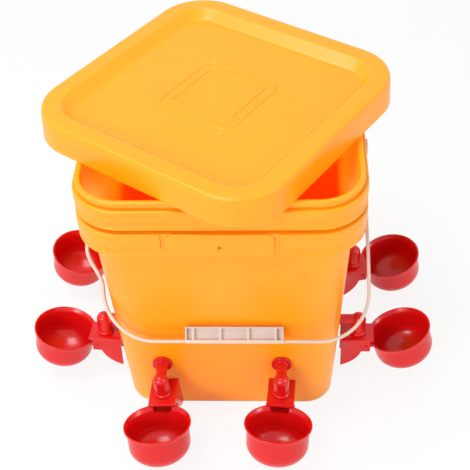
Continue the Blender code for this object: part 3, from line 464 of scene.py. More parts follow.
def carved(name, shape, *steps):
    """A mesh made from a shape by exact Booleans, each a pair of operation and shape."""
    obj = new_object(name, new_mesh(name, *shape))
    helpers = []
    for number, (operation, other) in enumerate(steps):
        helper = new_object(name + "_helper", new_mesh(name + "_helper", *other))
        modifier = obj.modifiers.new(str(number), "BOOLEAN")
        modifier.operation = operation
        modifier.solver = "EXACT"
        modifier.object = helper
        helpers.append(helper)
    evaluated = obj.evaluated_get(bpy.context.evaluated_depsgraph_get())
    mesh = bpy.data.meshes.new_from_object(evaluated)
    for used in [obj, *helpers]:
        old = used.data
        bpy.data.objects.remove(used)
        bpy.data.meshes.remove(old)
    mesh.materials.clear()
    mesh.name = name
    return mesh


def read_points(mesh):
    points = np.empty(3 * len(mesh.vertices), np.float32)
    mesh.vertices.foreach_get("co", points)
    return points.reshape(-1, 3).astype(float)


def finish_piece(name, mesh, material, body, nodes, sharp=38):
    """Shades a mesh smooth up to its sharp edges, shows it, ties it to its body, if it has one
    of its own, and hides its nodes."""
    mesh.shade_smooth()
    mesh.set_sharp_from_angle(angle=math.radians(sharp))
    mesh.materials.clear()
    mesh.materials.append(material)
    piece = new_object(name, mesh)
    if body:
        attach(piece, body)
    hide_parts(*nodes)
    return piece


def carried(mesh, matrix, name):
    """A copy of a mesh, carried by a frame's matrix."""
    copy = mesh.copy()
    copy.name = name
    copy.transform(Matrix(matrix.tolist()))
    return copy


# Frames of the six units

def frame_of(origin, x, z):
    """The matrix of a frame at origin with its X and Z axes given and Y square to both."""
    matrix = np.eye(4)
    matrix[:3, 0] = x
    matrix[:3, 1] = np.cross(z, x)
    matrix[:3, 2] = z
    matrix[:3, 3] = origin
    return matrix


def fitting_frame(unit):
    """At the hole's centre on the wall's outer face, X out of the wall, Z up the stem."""
    joint = JOINTS[unit + "_swivel"]
    normal = np.array(WALL_NORMALS[unit.split("_")[0]], float)
    return frame_of(np.array(joint["pos_m"]) - STEM_OUT * normal, normal, np.array(joint["axis"]))


def swivel_frame(unit):
    """On the stem's axis at the hole's height, Z up the stem and Y along the hinge pin."""
    joint = JOINTS[unit + "_swivel"]
    z = np.array(joint["axis"])
    return frame_of(joint["pos_m"], np.cross(JOINTS[unit + "_cup_tip"]["axis"], z), z)


def hinge_frame(unit):
    """On the hinge pin, with X along the cup's mouth, raised by the cup's tilt."""
    joint = JOINTS[unit + "_cup_tip"]
    tilt = math.radians(joint["range_deg"][1]) + CLOSED_TILT
    swivel = swivel_frame(unit)
    x = swivel[:3, 0] * math.cos(tilt) + swivel[:3, 2] * math.sin(tilt)
    z = swivel[:3, 2] * math.cos(tilt) - swivel[:3, 0] * math.sin(tilt)
    return frame_of(joint["pos_m"], x, z)


def follow_wall(mesh, matrix, fixed, face):
    """Shears a fitting's points between x = fixed and x = face with the wall's slope.

    A point moves out by the taper times its height over the hole, in the share of its way from the
    fixed plane to the face.
    """
    points = read_points(mesh)
    share = np.clip((points[:, 0] - fixed) / (face - fixed), 0, 1)
    share[np.abs(points[:, 0] - fixed) > abs(face - fixed) + 0.0001] = 0
    rise = (points * (0, 1, 1)) @ matrix[2, :3]
    points[:, 0] += share * WALL_TAPER * rise
    mesh.vertices.foreach_set("co", points.astype(np.float32).ravel())
    mesh.update()


# Materials

def shader_tree(name):
    material = bpy.data.materials.new(name)
    material.use_nodes = True
    tree = material.node_tree
    return material, tree, tree.nodes["Principled BSDF"]


def add_node(tree, kind, **inputs):
    """A node of a kind with its inputs set by name, underscores standing for spaces."""
    node = tree.nodes.new(kind)
    for key, value in inputs.items():
        socket = node.inputs[key.replace("_", " ")]
        if isinstance(value, bpy.types.NodeSocket):
            tree.links.new(value, socket)
        else:
            socket.default_value = value
    return node


def remap(tree, value, low, high, from_low=0.0, from_high=1.0):
    """A value carried linearly from one span to another and held inside it."""
    node = add_node(tree, "ShaderNodeMapRange", Value=value, From_Min=from_low, From_Max=from_high,
                    To_Min=low, To_Max=high)
    return node.outputs["Result"]


def noise(tree, place, scale, detail=2.0, rough=0.5):
    node = add_node(tree, "ShaderNodeTexNoise", Vector=place, Scale=scale, Detail=detail, Roughness=rough)
    return node.outputs["Fac"]


def stretched(tree, place, scale, turn=(0.0, 0.0, 0.0)):
    node = add_node(tree, "ShaderNodeMapping", Vector=place, Scale=scale, Rotation=turn)
    return node.outputs["Vector"]


def moulded_plastic(name, colour, deep, rough, grain, scatter, radius, depth, wave_height=0.0006):
    """Injection moulded plastic: tone drifts softly over it, its skin has a fine grain, slow sink
    waves and a few hair scratches, and its gloss varies with all three."""
    material, tree, shader = shader_tree(name)
    place = tree.nodes.new("ShaderNodeTexCoord").outputs["Object"]
    drift = noise(tree, place, 11.0, 3.0, 0.55)
    flow = noise(tree, stretched(tree, place, (1.0, 1.0, 0.18)), 60.0, 2.0)
    tone = tree.nodes.new("ShaderNodeMix")
    tone.data_type = "RGBA"
    tone.inputs["A"].default_value = (*deep, 1)
    tone.inputs["B"].default_value = (*colour, 1)
    drifted = remap(tree, drift, 0.55, 1.0, 0.30, 0.62)
    tree.links.new(drifted, tone.inputs["Factor"])
    tree.links.new(tone.outputs["Result"], shader.inputs["Base Color"])
    fine = noise(tree, place, 2600.0, 2.0, 0.6)
    wave = noise(tree, place, 34.0, 1.0, 0.4)
    scratch = noise(tree, stretched(tree, place, (1.0, 0.035, 0.3), (0.3, 0.9, 0.6)), 1500.0, 1.0)
    mark = remap(tree, scratch, 0.0, 1.0, 0.72, 0.78)
    base = remap(tree, flow, rough * 0.88, rough * 1.12, 0.3, 0.7)
    gloss = add_node(tree, "ShaderNodeMath")
    gloss.operation = "MULTIPLY_ADD"
    tree.links.new(mark, gloss.inputs[0])
    gloss.inputs[1].default_value = 0.12
    tree.links.new(base, gloss.inputs[2])
    tree.links.new(gloss.outputs["Value"], shader.inputs["Roughness"])
    slow = add_node(tree, "ShaderNodeBump", Strength=0.25, Distance=wave_height, Height=wave)
    skin = add_node(tree, "ShaderNodeBump", Strength=grain, Distance=0.00004, Height=fine,
                    Normal=slow.outputs["Normal"])
    tree.links.new(skin.outputs["Normal"], shader.inputs["Normal"])
    shader.inputs["Specular IOR Level"].default_value = 0.5
    shader.inputs["IOR"].default_value = 1.49
    shader.inputs["Subsurface Weight"].default_value = scatter
    shader.inputs["Subsurface Radius"].default_value = radius
    shader.inputs["Subsurface Scale"].default_value = depth
    return material


def black_rubber(colour):
    """Matt rubber with a powdery bloom in its tone and a pebbled skin."""
    material, tree, shader = shader_tree("seal rubber")
    place = tree.nodes.new("ShaderNodeTexCoord").outputs["Object"]
    bloom = noise(tree, place, 260.0, 4.0, 0.6)
    tone = tree.nodes.new("ShaderNodeMix")
    tone.data_type = "RGBA"
    tone.inputs["A"].default_value = (*colour, 1)
    tone.inputs["B"].default_value = (*[min(1.0, 2.2 * c + 0.01) for c in colour], 1)
    tree.links.new(remap(tree, bloom, 0.0, 1.0, 0.4, 0.75), tone.inputs["Factor"])
    tree.links.new(tone.outputs["Result"], shader.inputs["Base Color"])
    tree.links.new(remap(tree, bloom, 0.6, 0.82), shader.inputs["Roughness"])
    bump = add_node(tree, "ShaderNodeBump", Strength=0.3, Distance=0.00005,
                    Height=noise(tree, place, 1800.0, 2.0))
    tree.links.new(bump.outputs["Normal"], shader.inputs["Normal"])
    return material


def drawn_steel(colour):
    """Stainless wire: fine lines round it from the drawing die, and a roughness that varies."""
    material, tree, shader = shader_tree("drawn stainless steel")
    place = tree.nodes.new("ShaderNodeTexCoord").outputs["Object"]
    lines = noise(tree, stretched(tree, place, (1.0, 1.0, 12.0)), 900.0, 3.0, 0.7)
    shader.inputs["Base Color"].default_value = (*colour, 1)
    shader.inputs["Metallic"].default_value = 1.0
    tree.links.new(remap(tree, lines, 0.2, 0.38), shader.inputs["Roughness"])
    bump = add_node(tree, "ShaderNodeBump", Strength=0.2, Distance=0.00002, Height=lines)
    tree.links.new(bump.outputs["Normal"], shader.inputs["Normal"])
    return material


def shared_material(key, make):
    """A material made on first use and then shared by every piece that asks for it."""
    found = bpy.data.materials.get(key)
    if found:
        return found
    made = make()
    made.name = key
    return made


def yellow_plastic():
    colours = bpy.context.scene.drinker_colours
    return shared_material("yellow polypropylene", lambda: moulded_plastic(
        "yellow polypropylene", colours.yellow, colours.yellow_deep, 0.34, 0.30, 0.25, (1.0, 0.50, 0.08),
        0.005, 0.0003))


def red_plastic():
    colours = bpy.context.scene.drinker_colours
    return shared_material("red polypropylene", lambda: moulded_plastic(
        "red polypropylene", colours.red, colours.red_deep, 0.24, 0.20, 0.10, (1.0, 0.08, 0.05),
        0.004, 0.0002))


def white_plastic():
    colours = bpy.context.scene.drinker_colours
    return shared_material("white polyethylene", lambda: moulded_plastic(
        "white polyethylene", colours.white, colours.white_deep, 0.38, 0.30, 0.15, (1.0, 0.8, 0.6),
        0.004))


def rubber():
    return shared_material("black rubber", lambda: black_rubber(bpy.context.scene.drinker_colours.rubber))


def steel():
    return shared_material("stainless steel", lambda: drawn_steel(bpy.context.scene.drinker_colours.steel))


# Pail

def inner_half(z):
    """Half the inner width: parallel to the outer wall up to the shoulder, then out to the lip."""
    start = BASE_HALF + WALL_TAPER * SHOULDER_Z - WALL
    share = (z - SHOULDER_Z) / (PAIL_HEIGHT - SHOULDER_Z)
    above = start + share * (RIM_HALF - RIM_WIDTH - start)
    return np.where(z <= SHOULDER_Z, BASE_HALF + WALL_TAPER * z - WALL, above)


def skirt_rows(face, low, top, thin):
    """A skirt from its inner foot over the bead, the flared band and the crease to its face's top."""
    crease = low + SKIRT_BAND
    return [
        (face - BEAD_BACK - SKIRT_WALL, low, thin), (face - BEAD_BACK, low, thin),
        (face - BEAD_BACK, low + BEAD_HIGH, 0.0004), (face - 0.0009, low + BEAD_HIGH + 0.0006, 0.0006),
        (face - BAND_STEP, crease - 0.0004, 0.0003), (face - 0.0001, crease + 0.0003, 0.0005),
        (face, (crease + top) / 2, 0.02), (face - 0.0004, top, 0.0016),
    ]


def pail_profile(sizes):
    """(half width, height) from the outside of the base over skirts and lip to the floor, eased."""
    top = PAIL_HEIGHT
    lower_web = UPPER_SKIRT_Z - LOWER_WEB_BELOW
    upper_web = top - UPPER_WEB_BELOW
    low_back = LOWER_SKIRT_HALF - SKIRT_THICK
    up_back = UPPER_SKIRT_HALF - SKIRT_THICK
    step = UPPER_SKIRT_Z - STEP_HEIGHT
    lip_back = RIM_HALF - LIP_BACK
    lip_foot = top - LIP_HIGH
    shoulder = BASE_HALF + WALL_TAPER * SHOULDER_Z
    thin = sizes.edge_round
    rows = [
        (BASE_HALF - 0.012, 0, 0), (BASE_HALF, 0, FOOT_ROUND * 1.6), (shoulder, SHOULDER_Z, 0.01),
        (inner_half(lower_web) + WALL, lower_web, 0.002), (low_back, lower_web, 0.001),
        *skirt_rows(LOWER_SKIRT_HALF, LOWER_SKIRT_Z, step, thin),
        (inner_half(UPPER_SKIRT_Z) + WALL, UPPER_SKIRT_Z - LOWER_WEB_BELOW / 2, 0.001),
        (inner_half(upper_web) + WALL, upper_web, 0.002), (up_back, upper_web, 0.001),
        *skirt_rows(UPPER_SKIRT_HALF, UPPER_SKIRT_Z, lip_foot, thin),
        (lip_back, lip_foot, thin), (lip_back, lip_foot + 0.0013, thin),
        (RIM_HALF, lip_foot + 0.0022, 0.0008), (RIM_HALF, top, 0.0017),
        (RIM_HALF - RIM_WIDTH, top, 0.0017), (inner_half(SHOULDER_Z), SHOULDER_Z, 0.01),
        (inner_half(FLOOR), FLOOR, FLOOR_ROUND * 1.4), (inner_half(FLOOR) - 0.014, FLOOR, 0),
    ]
    rows = np.array([[float(value) for value in row] for row in rows])
    return filleted(rows[:, :2], rows[:, 2], 6)


def pail_rings(profile):
    """Square rings whose corner centres move out up to the shoulder, with each wall's middle drawn
    in: its distance from the axis shrinks by a sine over the height times a cosine over the width.
    """
    base = BASE_HALF - BASE_CORNER
    half, z = profile[:, 0], profile[:, 1]
    centre = base + (RIM_HALF - RIM_CORNER - base) * np.clip(z / SHOULDER_Z, 0, 1)
    rings = rounded_squares(half, half - centre, 16, 16)
    up = np.sin(math.pi * np.clip((z - BOW_LOW) / (SHOULDER_Z - BOW_LOW), 0, 1))[:, None] ** 2
    across = np.cos(math.pi / 2 * np.clip(np.abs(rings) / BOW_HALF, 0, 1)) ** 2
    rings = rings * (1 - WALL_BOW * up[..., None] * across[..., ::-1])
    height = np.broadcast_to(z[:, None, None], (*rings.shape[:2], 1))
    return np.concatenate([rings, height], axis=-1)


def refined(profile, longest):
    """A line with its long stretches divided, so that no step is longer than the given length."""
    parts = []
    for start, end in zip(profile, profile[1:]):
        count = max(1, math.ceil(np.linalg.norm(end - start) / longest))
        parts.append(start + (end - start) * np.arange(count)[:, None] / count)
    return np.vstack([*parts, profile[-1:]])


def tab_outlines():
    """The tab, and the margin round it as a U, both as (x, z) with round upper corners."""
    tab = filleted_loop([(TAB_LEFT, LOWER_SKIRT_Z + GAP), (TAB_RIGHT, LOWER_SKIRT_Z + GAP),
                         (TAB_RIGHT, TAB_TOP), (TAB_LEFT, TAB_TOP)],
                        [TAB_FOOT_ROUND, TAB_FOOT_ROUND, TAB_CORNER, TAB_CORNER], 10)
    left, right = TAB_LEFT - TAB_MARGIN, TAB_RIGHT + TAB_MARGIN
    foot, high = LOWER_SKIRT_Z + SKIRT_BAND - TAB_SHY, TAB_TOP + TAB_MARGIN_TOP
    inside = TAB_LEFT - GAP / 3, TAB_TOP + GAP / 3, TAB_RIGHT + GAP / 3
    margin = filleted_loop([(left, foot), (inside[0], foot), (inside[0], inside[1]), (inside[2], inside[1]),
                            (inside[2], foot), (right, foot), (right, high), (left, high)],
                           [TAB_FOOT_ROUND, TAB_FOOT_ROUND, TAB_CORNER, TAB_CORNER, TAB_FOOT_ROUND,
                            TAB_FOOT_ROUND, TAB_CORNER + TAB_MARGIN, TAB_CORNER + TAB_MARGIN], 10)
    return tab[::-1], margin[::-1]


def make_pail(sizes):
    """Square rings lofted along the profile, with tab, bosses and holes carved: the tab joined to
    the lower skirt and the margin round it set back, and a dish round the tab's hole."""
    face = -LOWER_SKIRT_HALF - TAB_PROUD
    reach = LOWER_SKIRT_HALF + 0.01
    tab, margin = tab_outlines()
    back = SKIRT_THICK - TAB_SHY - LOWER_SKIRT_HALF
    cuts = [("UNION", slab(tab, face, back, TAB_EDGE, "xzy")),
            ("DIFFERENCE", slab(margin, face - 0.004, BAND_STEP - LOWER_SKIRT_HALF, TAB_SHY, "xzy"))]
    start, end = LOWER_SKIRT_HALF - 2 * SKIRT_WALL, LOWER_SKIRT_HALF + BOSS_PROUD
    boss = turned([(0, start), (BOSS_RADIUS, start), (BOSS_RADIUS, end - GAP), (BOSS_RADIUS - GAP, end),
                   (0, end)], 40)
    peg_hole = cylinder(PEG_RADIUS + GAP, LOWER_SKIRT_HALF - PEG_HOLE_DEEP, reach)
    for side in (-1, 1):
        for operation, shape in (("UNION", boss), ("DIFFERENCE", peg_hole)):
            points, faces = moved(along_x(shape), (0, 0, BAIL_PIVOT[2]))
            cuts.append((operation, (points * (side, side, 1), faces)))
    floor = face + TAB_DISH_DEEP
    dish = turned([(0, face - 0.001), (TAB_DISH_RADIUS + 0.0006, face - 0.001),
                   (TAB_DISH_RADIUS, face + 0.0001), (TAB_HOLE_RADIUS - 0.0002, floor), (0, floor)], 32)
    for shape in (cylinder(TAB_HOLE_RADIUS, -reach, -reach + 0.02, 20), dish):
        cuts.append(("DIFFERENCE", moved(along_y(shape), (0, 0, TAB_HOLE_Z))))
    bore, faces = along_x(cylinder(THREAD_RADIUS + GAP, -0.010, 0.010))
    for unit in UNITS:
        matrix = fitting_frame(unit)
        cuts.append(("DIFFERENCE", (bore @ matrix[:3, :3].T + matrix[:3, 3], faces)))
    return carved("pail", loft(pail_rings(refined(pail_profile(sizes), 0.012))), *cuts)


# Lid

def lid_profile(sizes):
    """(half width, corner radius, height) over the lid's top, and under it from panel to foot."""
    top = LID_TOP.z - LID_LOW.z
    panel = top - LID_PANEL_DROP
    high = top - LID_EDGE_ROUND
    crest = panel + LID_RIDGE_HEIGHT
    over = [
        (LID_HALF, LID_CORNER, 0, 0), (LID_HALF - LID_LEAN, LID_CORNER - LID_LEAN, high, 0.012),
        (LID_HALF - LID_LEAN - 0.3 * LID_EDGE_ROUND, LID_CORNER - 0.8 * LID_EDGE_ROUND, top, 0.0065),
        (LID_BAND_INNER + 0.001, LID_BAND_CORNER + 0.001, top, 0.010),
        (LID_PANEL_HALF, LID_PANEL_CORNER, panel, 0.0030),
    ]
    for half, corner in LID_RIDGES:
        slope = 0.25 * LID_RIDGE_WIDTH
        for inset, height in ((0, panel), (slope, crest), (LID_RIDGE_WIDTH - slope, crest),
                              (LID_RIDGE_WIDTH, panel)):
            over.append((half - inset, corner - inset, height, sizes.ridge_round))
    last, last_corner = over[-1][:2]
    over.append((last * 0.4, last_corner * 0.4, panel, 0))
    under = top - LID_WALL
    corner = LID_CORNER - (LID_HALF - LID_PLUG_HALF)
    edge = LID_EDGE_ROUND + LID_LEAN
    below = [
        (last * 0.4, last_corner * 0.4, panel - LID_WALL, 0),
        (LID_PANEL_HALF - LID_WALL, LID_PANEL_CORNER - LID_WALL, panel - LID_WALL, 0.002),
        (LID_BAND_INNER - LID_WALL / 2, LID_BAND_CORNER - LID_WALL / 2, under - LID_BAND_EASE / 2, 0.001),
        (LID_PLUG_HALF - LID_PLUG_WALL, corner - LID_PLUG_WALL, under, 0.001),
        (LID_PLUG_HALF - LID_PLUG_WALL, corner - LID_PLUG_WALL, LID_PLUG_SHORT, 0.0004),
        (LID_PLUG_HALF, corner, LID_PLUG_SHORT, 0.0004), (LID_PLUG_HALF, corner, under, 0.0006),
        (LID_HALF - edge, LID_CORNER - 1.4 * edge, under, 0.001),
        (LID_HALF - LID_LEAN - LID_WALL, LID_CORNER - LID_LEAN - LID_WALL, top - edge, 0.001),
        (LID_HALF - LID_WALL, LID_CORNER - LID_WALL, 0, 0),
    ]
    return [filleted(np.array(rows)[:, :3], np.array(rows)[:, 3], 6) for rows in (over, below)]


def make_lid(sizes):
    """The two profiles as one loft, which closes along the outer wall's foot, with both panels
    capped. The panel rises a little towards its middle, by a cosine in both directions."""
    over, below = lid_profile(sizes)
    rings = []
    for profile in (over, below):
        profile = refined(profile, 0.012)
        flat = rounded_squares(profile[:, 0], profile[:, 1], 14, 12)
        height = np.broadcast_to(profile[:, 2][:, None, None], (*flat.shape[:2], 1))
        rings.append(np.concatenate([flat, height], axis=-1))
    rows = np.concatenate([rings[1], rings[0]])
    crown = np.prod(np.cos(math.pi / 2 * np.clip(rows[..., :2] / LID_PANEL_HALF, -1, 1)), axis=-1)
    rows[..., 2] += sizes.lid_crown * crown
    cos, sin = math.cos(LID_TURN), math.sin(LID_TURN)
    turn = np.array([[cos, -sin, 0], [sin, cos, 0], [0, 0, 1]])
    middle = ((LID_LOW.x + LID_TOP.x) / 2, (LID_LOW.y + LID_TOP.y) / 2, LID_LOW.z)
    points, faces = loft(rows)
    return new_mesh("lid_shell", points @ turn.T + middle, faces)


# Bail

def bail_side(side, straight, half, corner):
    """One side of the strip's middle line as (x, down): an arm, an eased lean that follows half a
    cosine wave, and a quarter circle into the cross run."""
    foot = BAIL_LENGTH - corner
    share = np.linspace(0, 1, 24)
    lean = np.stack([BAIL_PIVOT_X + (half - BAIL_PIVOT_X) * (1 - np.cos(math.pi * share)) / 2,
                     straight + (foot - straight) * share], axis=-1)
    arm = np.stack([np.full(8, BAIL_PIVOT_X), np.linspace(0, straight, 8, endpoint=False)], axis=-1)
    angle = np.linspace(0, math.pi / 2, 20)[1:]
    bend = np.stack([half - corner + corner * np.cos(angle), foot + corner * np.sin(angle)], axis=-1)
    return np.vstack([arm, lean, bend]) * (side, 1)


def make_bail(sizes):
    """A rounded section carried square to the middle line, with a grip, discs and barbed pegs."""
    left = bail_side(-1, BAIL_LEFT_STRAIGHT, BAIL_LEFT_HALF, BAIL_LEFT_CORNER)
    right = bail_side(1, BAIL_RIGHT_STRAIGHT, BAIL_RIGHT_HALF, BAIL_RIGHT_CORNER)
    line = np.vstack([left, right[::-1]])
    tangent = np.gradient(line, axis=0)
    tangent /= np.linalg.norm(tangent, axis=1, keepdims=True)
    across = np.stack([tangent[:, 1], -tangent[:, 0]], axis=-1)
    flat, deep = BAIL_THICK / 2, BAIL_DEEP / 2
    section = filleted_loop([(flat, -deep), (flat, deep), (-flat, deep), (-flat, -deep)],
                            sizes.strip_round, 4)
    rings = np.empty((len(line), len(section), 3))
    rings[..., 0] = line[:, None, 0] + across[:, None, 0] * section[None, :, 0]
    rings[..., 1] = section[None, :, 1]
    rings[..., 2] = -line[:, None, 1] - across[:, None, 1] * section[None, :, 0]
    low = -BAIL_LENGTH - GRIP_BELOW
    high = -BAIL_LENGTH + GRIP_ABOVE
    steps = [("UNION", box((GRIP_LEFT, -GRIP_FRONT, low), (GRIP_RIGHT, GRIP_REAR, high), 0.0007, "xzy"))]
    face = LOWER_SKIRT_HALF + BOSS_PROUD + GAP
    outer = BAIL_PIVOT_X + BAIL_THICK / 2 + 0.0004
    tip = face - PEG_LENGTH
    barb = tip + BARB_LENGTH
    peg = filleted([(0, tip), (PEG_RADIUS - 0.0006, tip), (BARB_RADIUS, barb - 0.0004),
                    (BARB_RADIUS, barb), (PEG_RADIUS, barb), (PEG_RADIUS, face), (DISC_RADIUS, face),
                    (DISC_RADIUS, outer), (0, outer)],
                   [0, 0.0003, 0.0003, 0.0001, 0.0002, 0.0002, 0.0003, 0.0005, 0], 4)
    for side in (-1, 1):
        points, faces = along_x(turned(peg, 40))
        steps.append(("UNION", (points * (side, side, 1), faces)))
    edges = [GRIP_LEFT - GRIP_RIB_WIDTH / 2 + GRIP_FLANGE, *GRIP_RIBS,
             GRIP_RIGHT + GRIP_RIB_WIDTH / 2 - GRIP_FLANGE]
    for start, end in zip(edges, edges[1:]):
        corner_low = (start + GRIP_RIB_WIDTH / 2, -GRIP_FRONT - 0.003, low + GRIP_POCKET_FOOT)
        corner_high = (end - GRIP_RIB_WIDTH / 2, GRIP_POCKET - GRIP_FRONT, high - GRIP_FLANGE)
        steps.append(("DIFFERENCE", box(corner_low, corner_high, 0.0007, "xzy")))
    mesh = carved("bail_strip", loft(rings), *steps)
    mesh.transform(Matrix.Translation(BAIL_PIVOT) @ Matrix.Rotation(-BAIL_REST, 4, "X"))
    return mesh


# Wall fitting

def thread_sleeve(sizes):
    """The tube behind the wall with a thread: its radius falls by the thread's depth with half a
    cosine of the way along minus the share of a turn, which makes one helical ridge."""
    rear = -WALL - THREAD_INSIDE
    x = np.linspace(rear, 0.001, 150)[:, None]
    angle = np.linspace(0, math.tau, 40, endpoint=False)[None, :]
    wave = 0.5 - 0.5 * np.cos(math.tau * x / sizes.thread_pitch - angle)
    runout = np.clip((x - rear) / 0.001, 0, 1) * 0.0005 - 0.0005
    radius = THREAD_RADIUS + runout - sizes.thread_depth * wave ** 2 * (x < -0.0002)
    rings = np.stack([np.broadcast_to(x, radius.shape), radius * np.cos(angle), radius * np.sin(angle)],
                     axis=-1)
    return loft(rings)


def elbow_profile():
    """Dome, stem, spigot with its groove, snap lip and nozzle, then back up the water bore."""
    groove_top = PLATE_UNDER - 0.0003
    lip = PLATE_UNDER - COLLAR_HEIGHT - GAP
    foot = PLATE_TOP + GAP
    angle = np.radians(np.linspace(90, 0, 13))
    dome = np.stack([DOME_RADIUS * np.cos(angle), DOME_RADIUS * np.sin(angle)], axis=-1)
    rows = [
        (DOME_RADIUS - 0.0001, foot + STEM_FOOT, 0.0008), (STEM_FOOT_RADIUS, foot + 0.7 * STEM_FOOT, 0.0006),
        (STEM_FOOT_RADIUS, foot, 0.0003), (SPIGOT_RADIUS, foot, 0.0002),
        (SPIGOT_RADIUS, groove_top, 0.0001), (GROOVE_RADIUS, groove_top, 0.0002),
        (GROOVE_RADIUS, groove_top - GROOVE_HEIGHT, 0.0002),
        (SPIGOT_RADIUS, groove_top - GROOVE_HEIGHT, 0.0001), (SPIGOT_RADIUS, lip, 0.0001),
        (LIP_RADIUS, lip, 0.0002), (LIP_RADIUS, lip - LIP_HEIGHT, 0.0003),
        (NOZZLE_RADIUS, -NOZZLE_BELOW, 0.0002), (SPIGOT_BORE, -NOZZLE_BELOW, 0.0001),
        (SPIGOT_BORE, PLATE_TOP, 0.0003), (THREAD_BORE, PLATE_TOP + 0.002, 0.0003),
        (THREAD_BORE, 0, 0.001), (0, THREAD_BORE, 0),
    ]
    rows = np.array(rows)
    line = np.vstack([dome[:-1], rows[:, :2]])
    radii = np.concatenate([np.zeros(len(dome) - 1), rows[:, 2]])
    return filleted(line, radii, 4)


def make_elbow(sizes):
    """The inlet elbow in its fitting's frame."""
    flange = FLANGE_THICK + GAP
    neck = STEM_OUT - 0.0045
    body = filleted([(0, -0.0006), (THREAD_RADIUS, -0.0006), (THREAD_RADIUS, GAP), (FLANGE_RADIUS, GAP),
                     (FLANGE_RADIUS, flange), (NECK_RADIUS, flange), (NECK_RADIUS, neck), (0, neck)],
                    [0, 0, 0, 0.0003, 0.0007, 0.0012, 0, 0], 5)
    stem = moved(turned(elbow_profile(), 48), (STEM_OUT, 0, 0))
    rear = -WALL - THREAD_INSIDE - 0.003
    bore = along_x(cylinder(THREAD_BORE * 0.8, rear, STEM_OUT - 0.0005, 24))
    return carved("elbow", along_x(turned(body, 48)), ("UNION", thread_sleeve(sizes)), ("UNION", stem),
                  ("DIFFERENCE", bore))


def make_seal():
    """The rubber washer behind the wall, in its fitting's frame."""
    bore = THREAD_RADIUS + GAP
    face = -WALL - GAP
    rear = face - SEAL_THICK
    profile = filleted_loop([(bore, rear), (SEAL_RADIUS, rear), (SEAL_RADIUS, face), (bore, face)],
                            [0.0002, 0.0006, 0.0005, 0.0002], 4)
    return new_mesh("seal", *along_x(turned(profile, 48, closed=True)))


def make_nut():
    """The lock nut: its distance from the axis is the smaller of the hexagon's, which is half the
    width over the cosine of the angle from the nearest flat, and a chamfer cone's."""
    bore = THREAD_RADIUS + GAP
    front = -WALL - 2 * GAP - SEAL_THICK
    back = front - NUT_THICK
    angle = np.linspace(0, math.tau, 144, endpoint=False)[None, :]
    flat = (angle + math.pi / 6) % (math.pi / 3) - math.pi / 6
    hexagon = NUT_ACROSS / 2 / np.cos(flat)
    turn = angle + math.pi / 2
    chamfer = np.array([0, 0.0004, 0.0009, 0.0015])
    flats = NUT_THICK * np.array([0.3, 0.5, 0.7])
    x = np.concatenate([back + chamfer, back + flats, front - chamfer[::-1]])[:, None]
    cone = NUT_ACROSS / 2 + 0.0001 + 1.6 * np.minimum(x - back, front - x)
    radius = np.minimum(hexagon, cone)
    inner = np.full((2, angle.shape[1]), bore)
    radius = np.vstack([inner[:1], radius, inner[1:]])
    x = np.vstack([[[back + 0.0003]], x, [[front - 0.0003]]])
    rings = np.stack([np.broadcast_to(x, radius.shape), radius * np.cos(turn), radius * np.sin(turn)],
                     axis=-1)
    return new_mesh("nut", *loft(rings, closed=True))


def make_o_ring():
    """A torus in the spigot's groove, in its fitting's frame: an ellipse turned about the stem."""
    middle = PLATE_UNDER - 0.0003 - GROOVE_HEIGHT / 2
    inner = GROOVE_RADIUS + GAP
    outer = COLLAR_BORE - GAP
    high = min(RING_THICK / 2, GROOVE_HEIGHT / 2 - GAP)
    angle = np.linspace(0, math.tau, 16, endpoint=False)
    profile = np.stack([(inner + outer) / 2 + (outer - inner) / 2 * np.cos(angle),
                        middle + high * np.sin(angle)], axis=-1)
    return new_mesh("o_ring", *moved(turned(profile, 40, closed=True), (STEM_OUT, 0, 0)))


# Valve housing, pin and spring

def side_plate_outline():
    """A side plate as (x, z): straight top and front, and a lower edge that sweeps up from the wall
    to the neck along a quadratic curve."""
    share = np.linspace(0, 1, 15)[:, None]
    start = np.array([-PLATE_BACK + 0.0001, PLATE_TOP - SIDE_DEPTH + 0.0002])
    control = np.array([-0.0010, PLATE_TOP - SIDE_DEPTH + 0.0065])
    end = np.array([0.0035, PLATE_TOP - SIDE_NECK])
    sweep = (1 - share) ** 2 * start + 2 * share * (1 - share) * control + share ** 2 * end
    top = PLATE_TOP - 0.0004
    corners = [(SIDE_FRONT, PLATE_TOP - SIDE_NECK), (SIDE_FRONT, top), (-PLATE_BACK + 0.0001, top)]
    line = np.vstack([sweep, corners])
    radii = np.zeros(len(line))
    radii[0] = 0.0006
    radii[len(sweep) - 1:] = (0.0015, 0.0010, 0.0004, 0.0004)
    return filleted_loop(line, radii, 4)


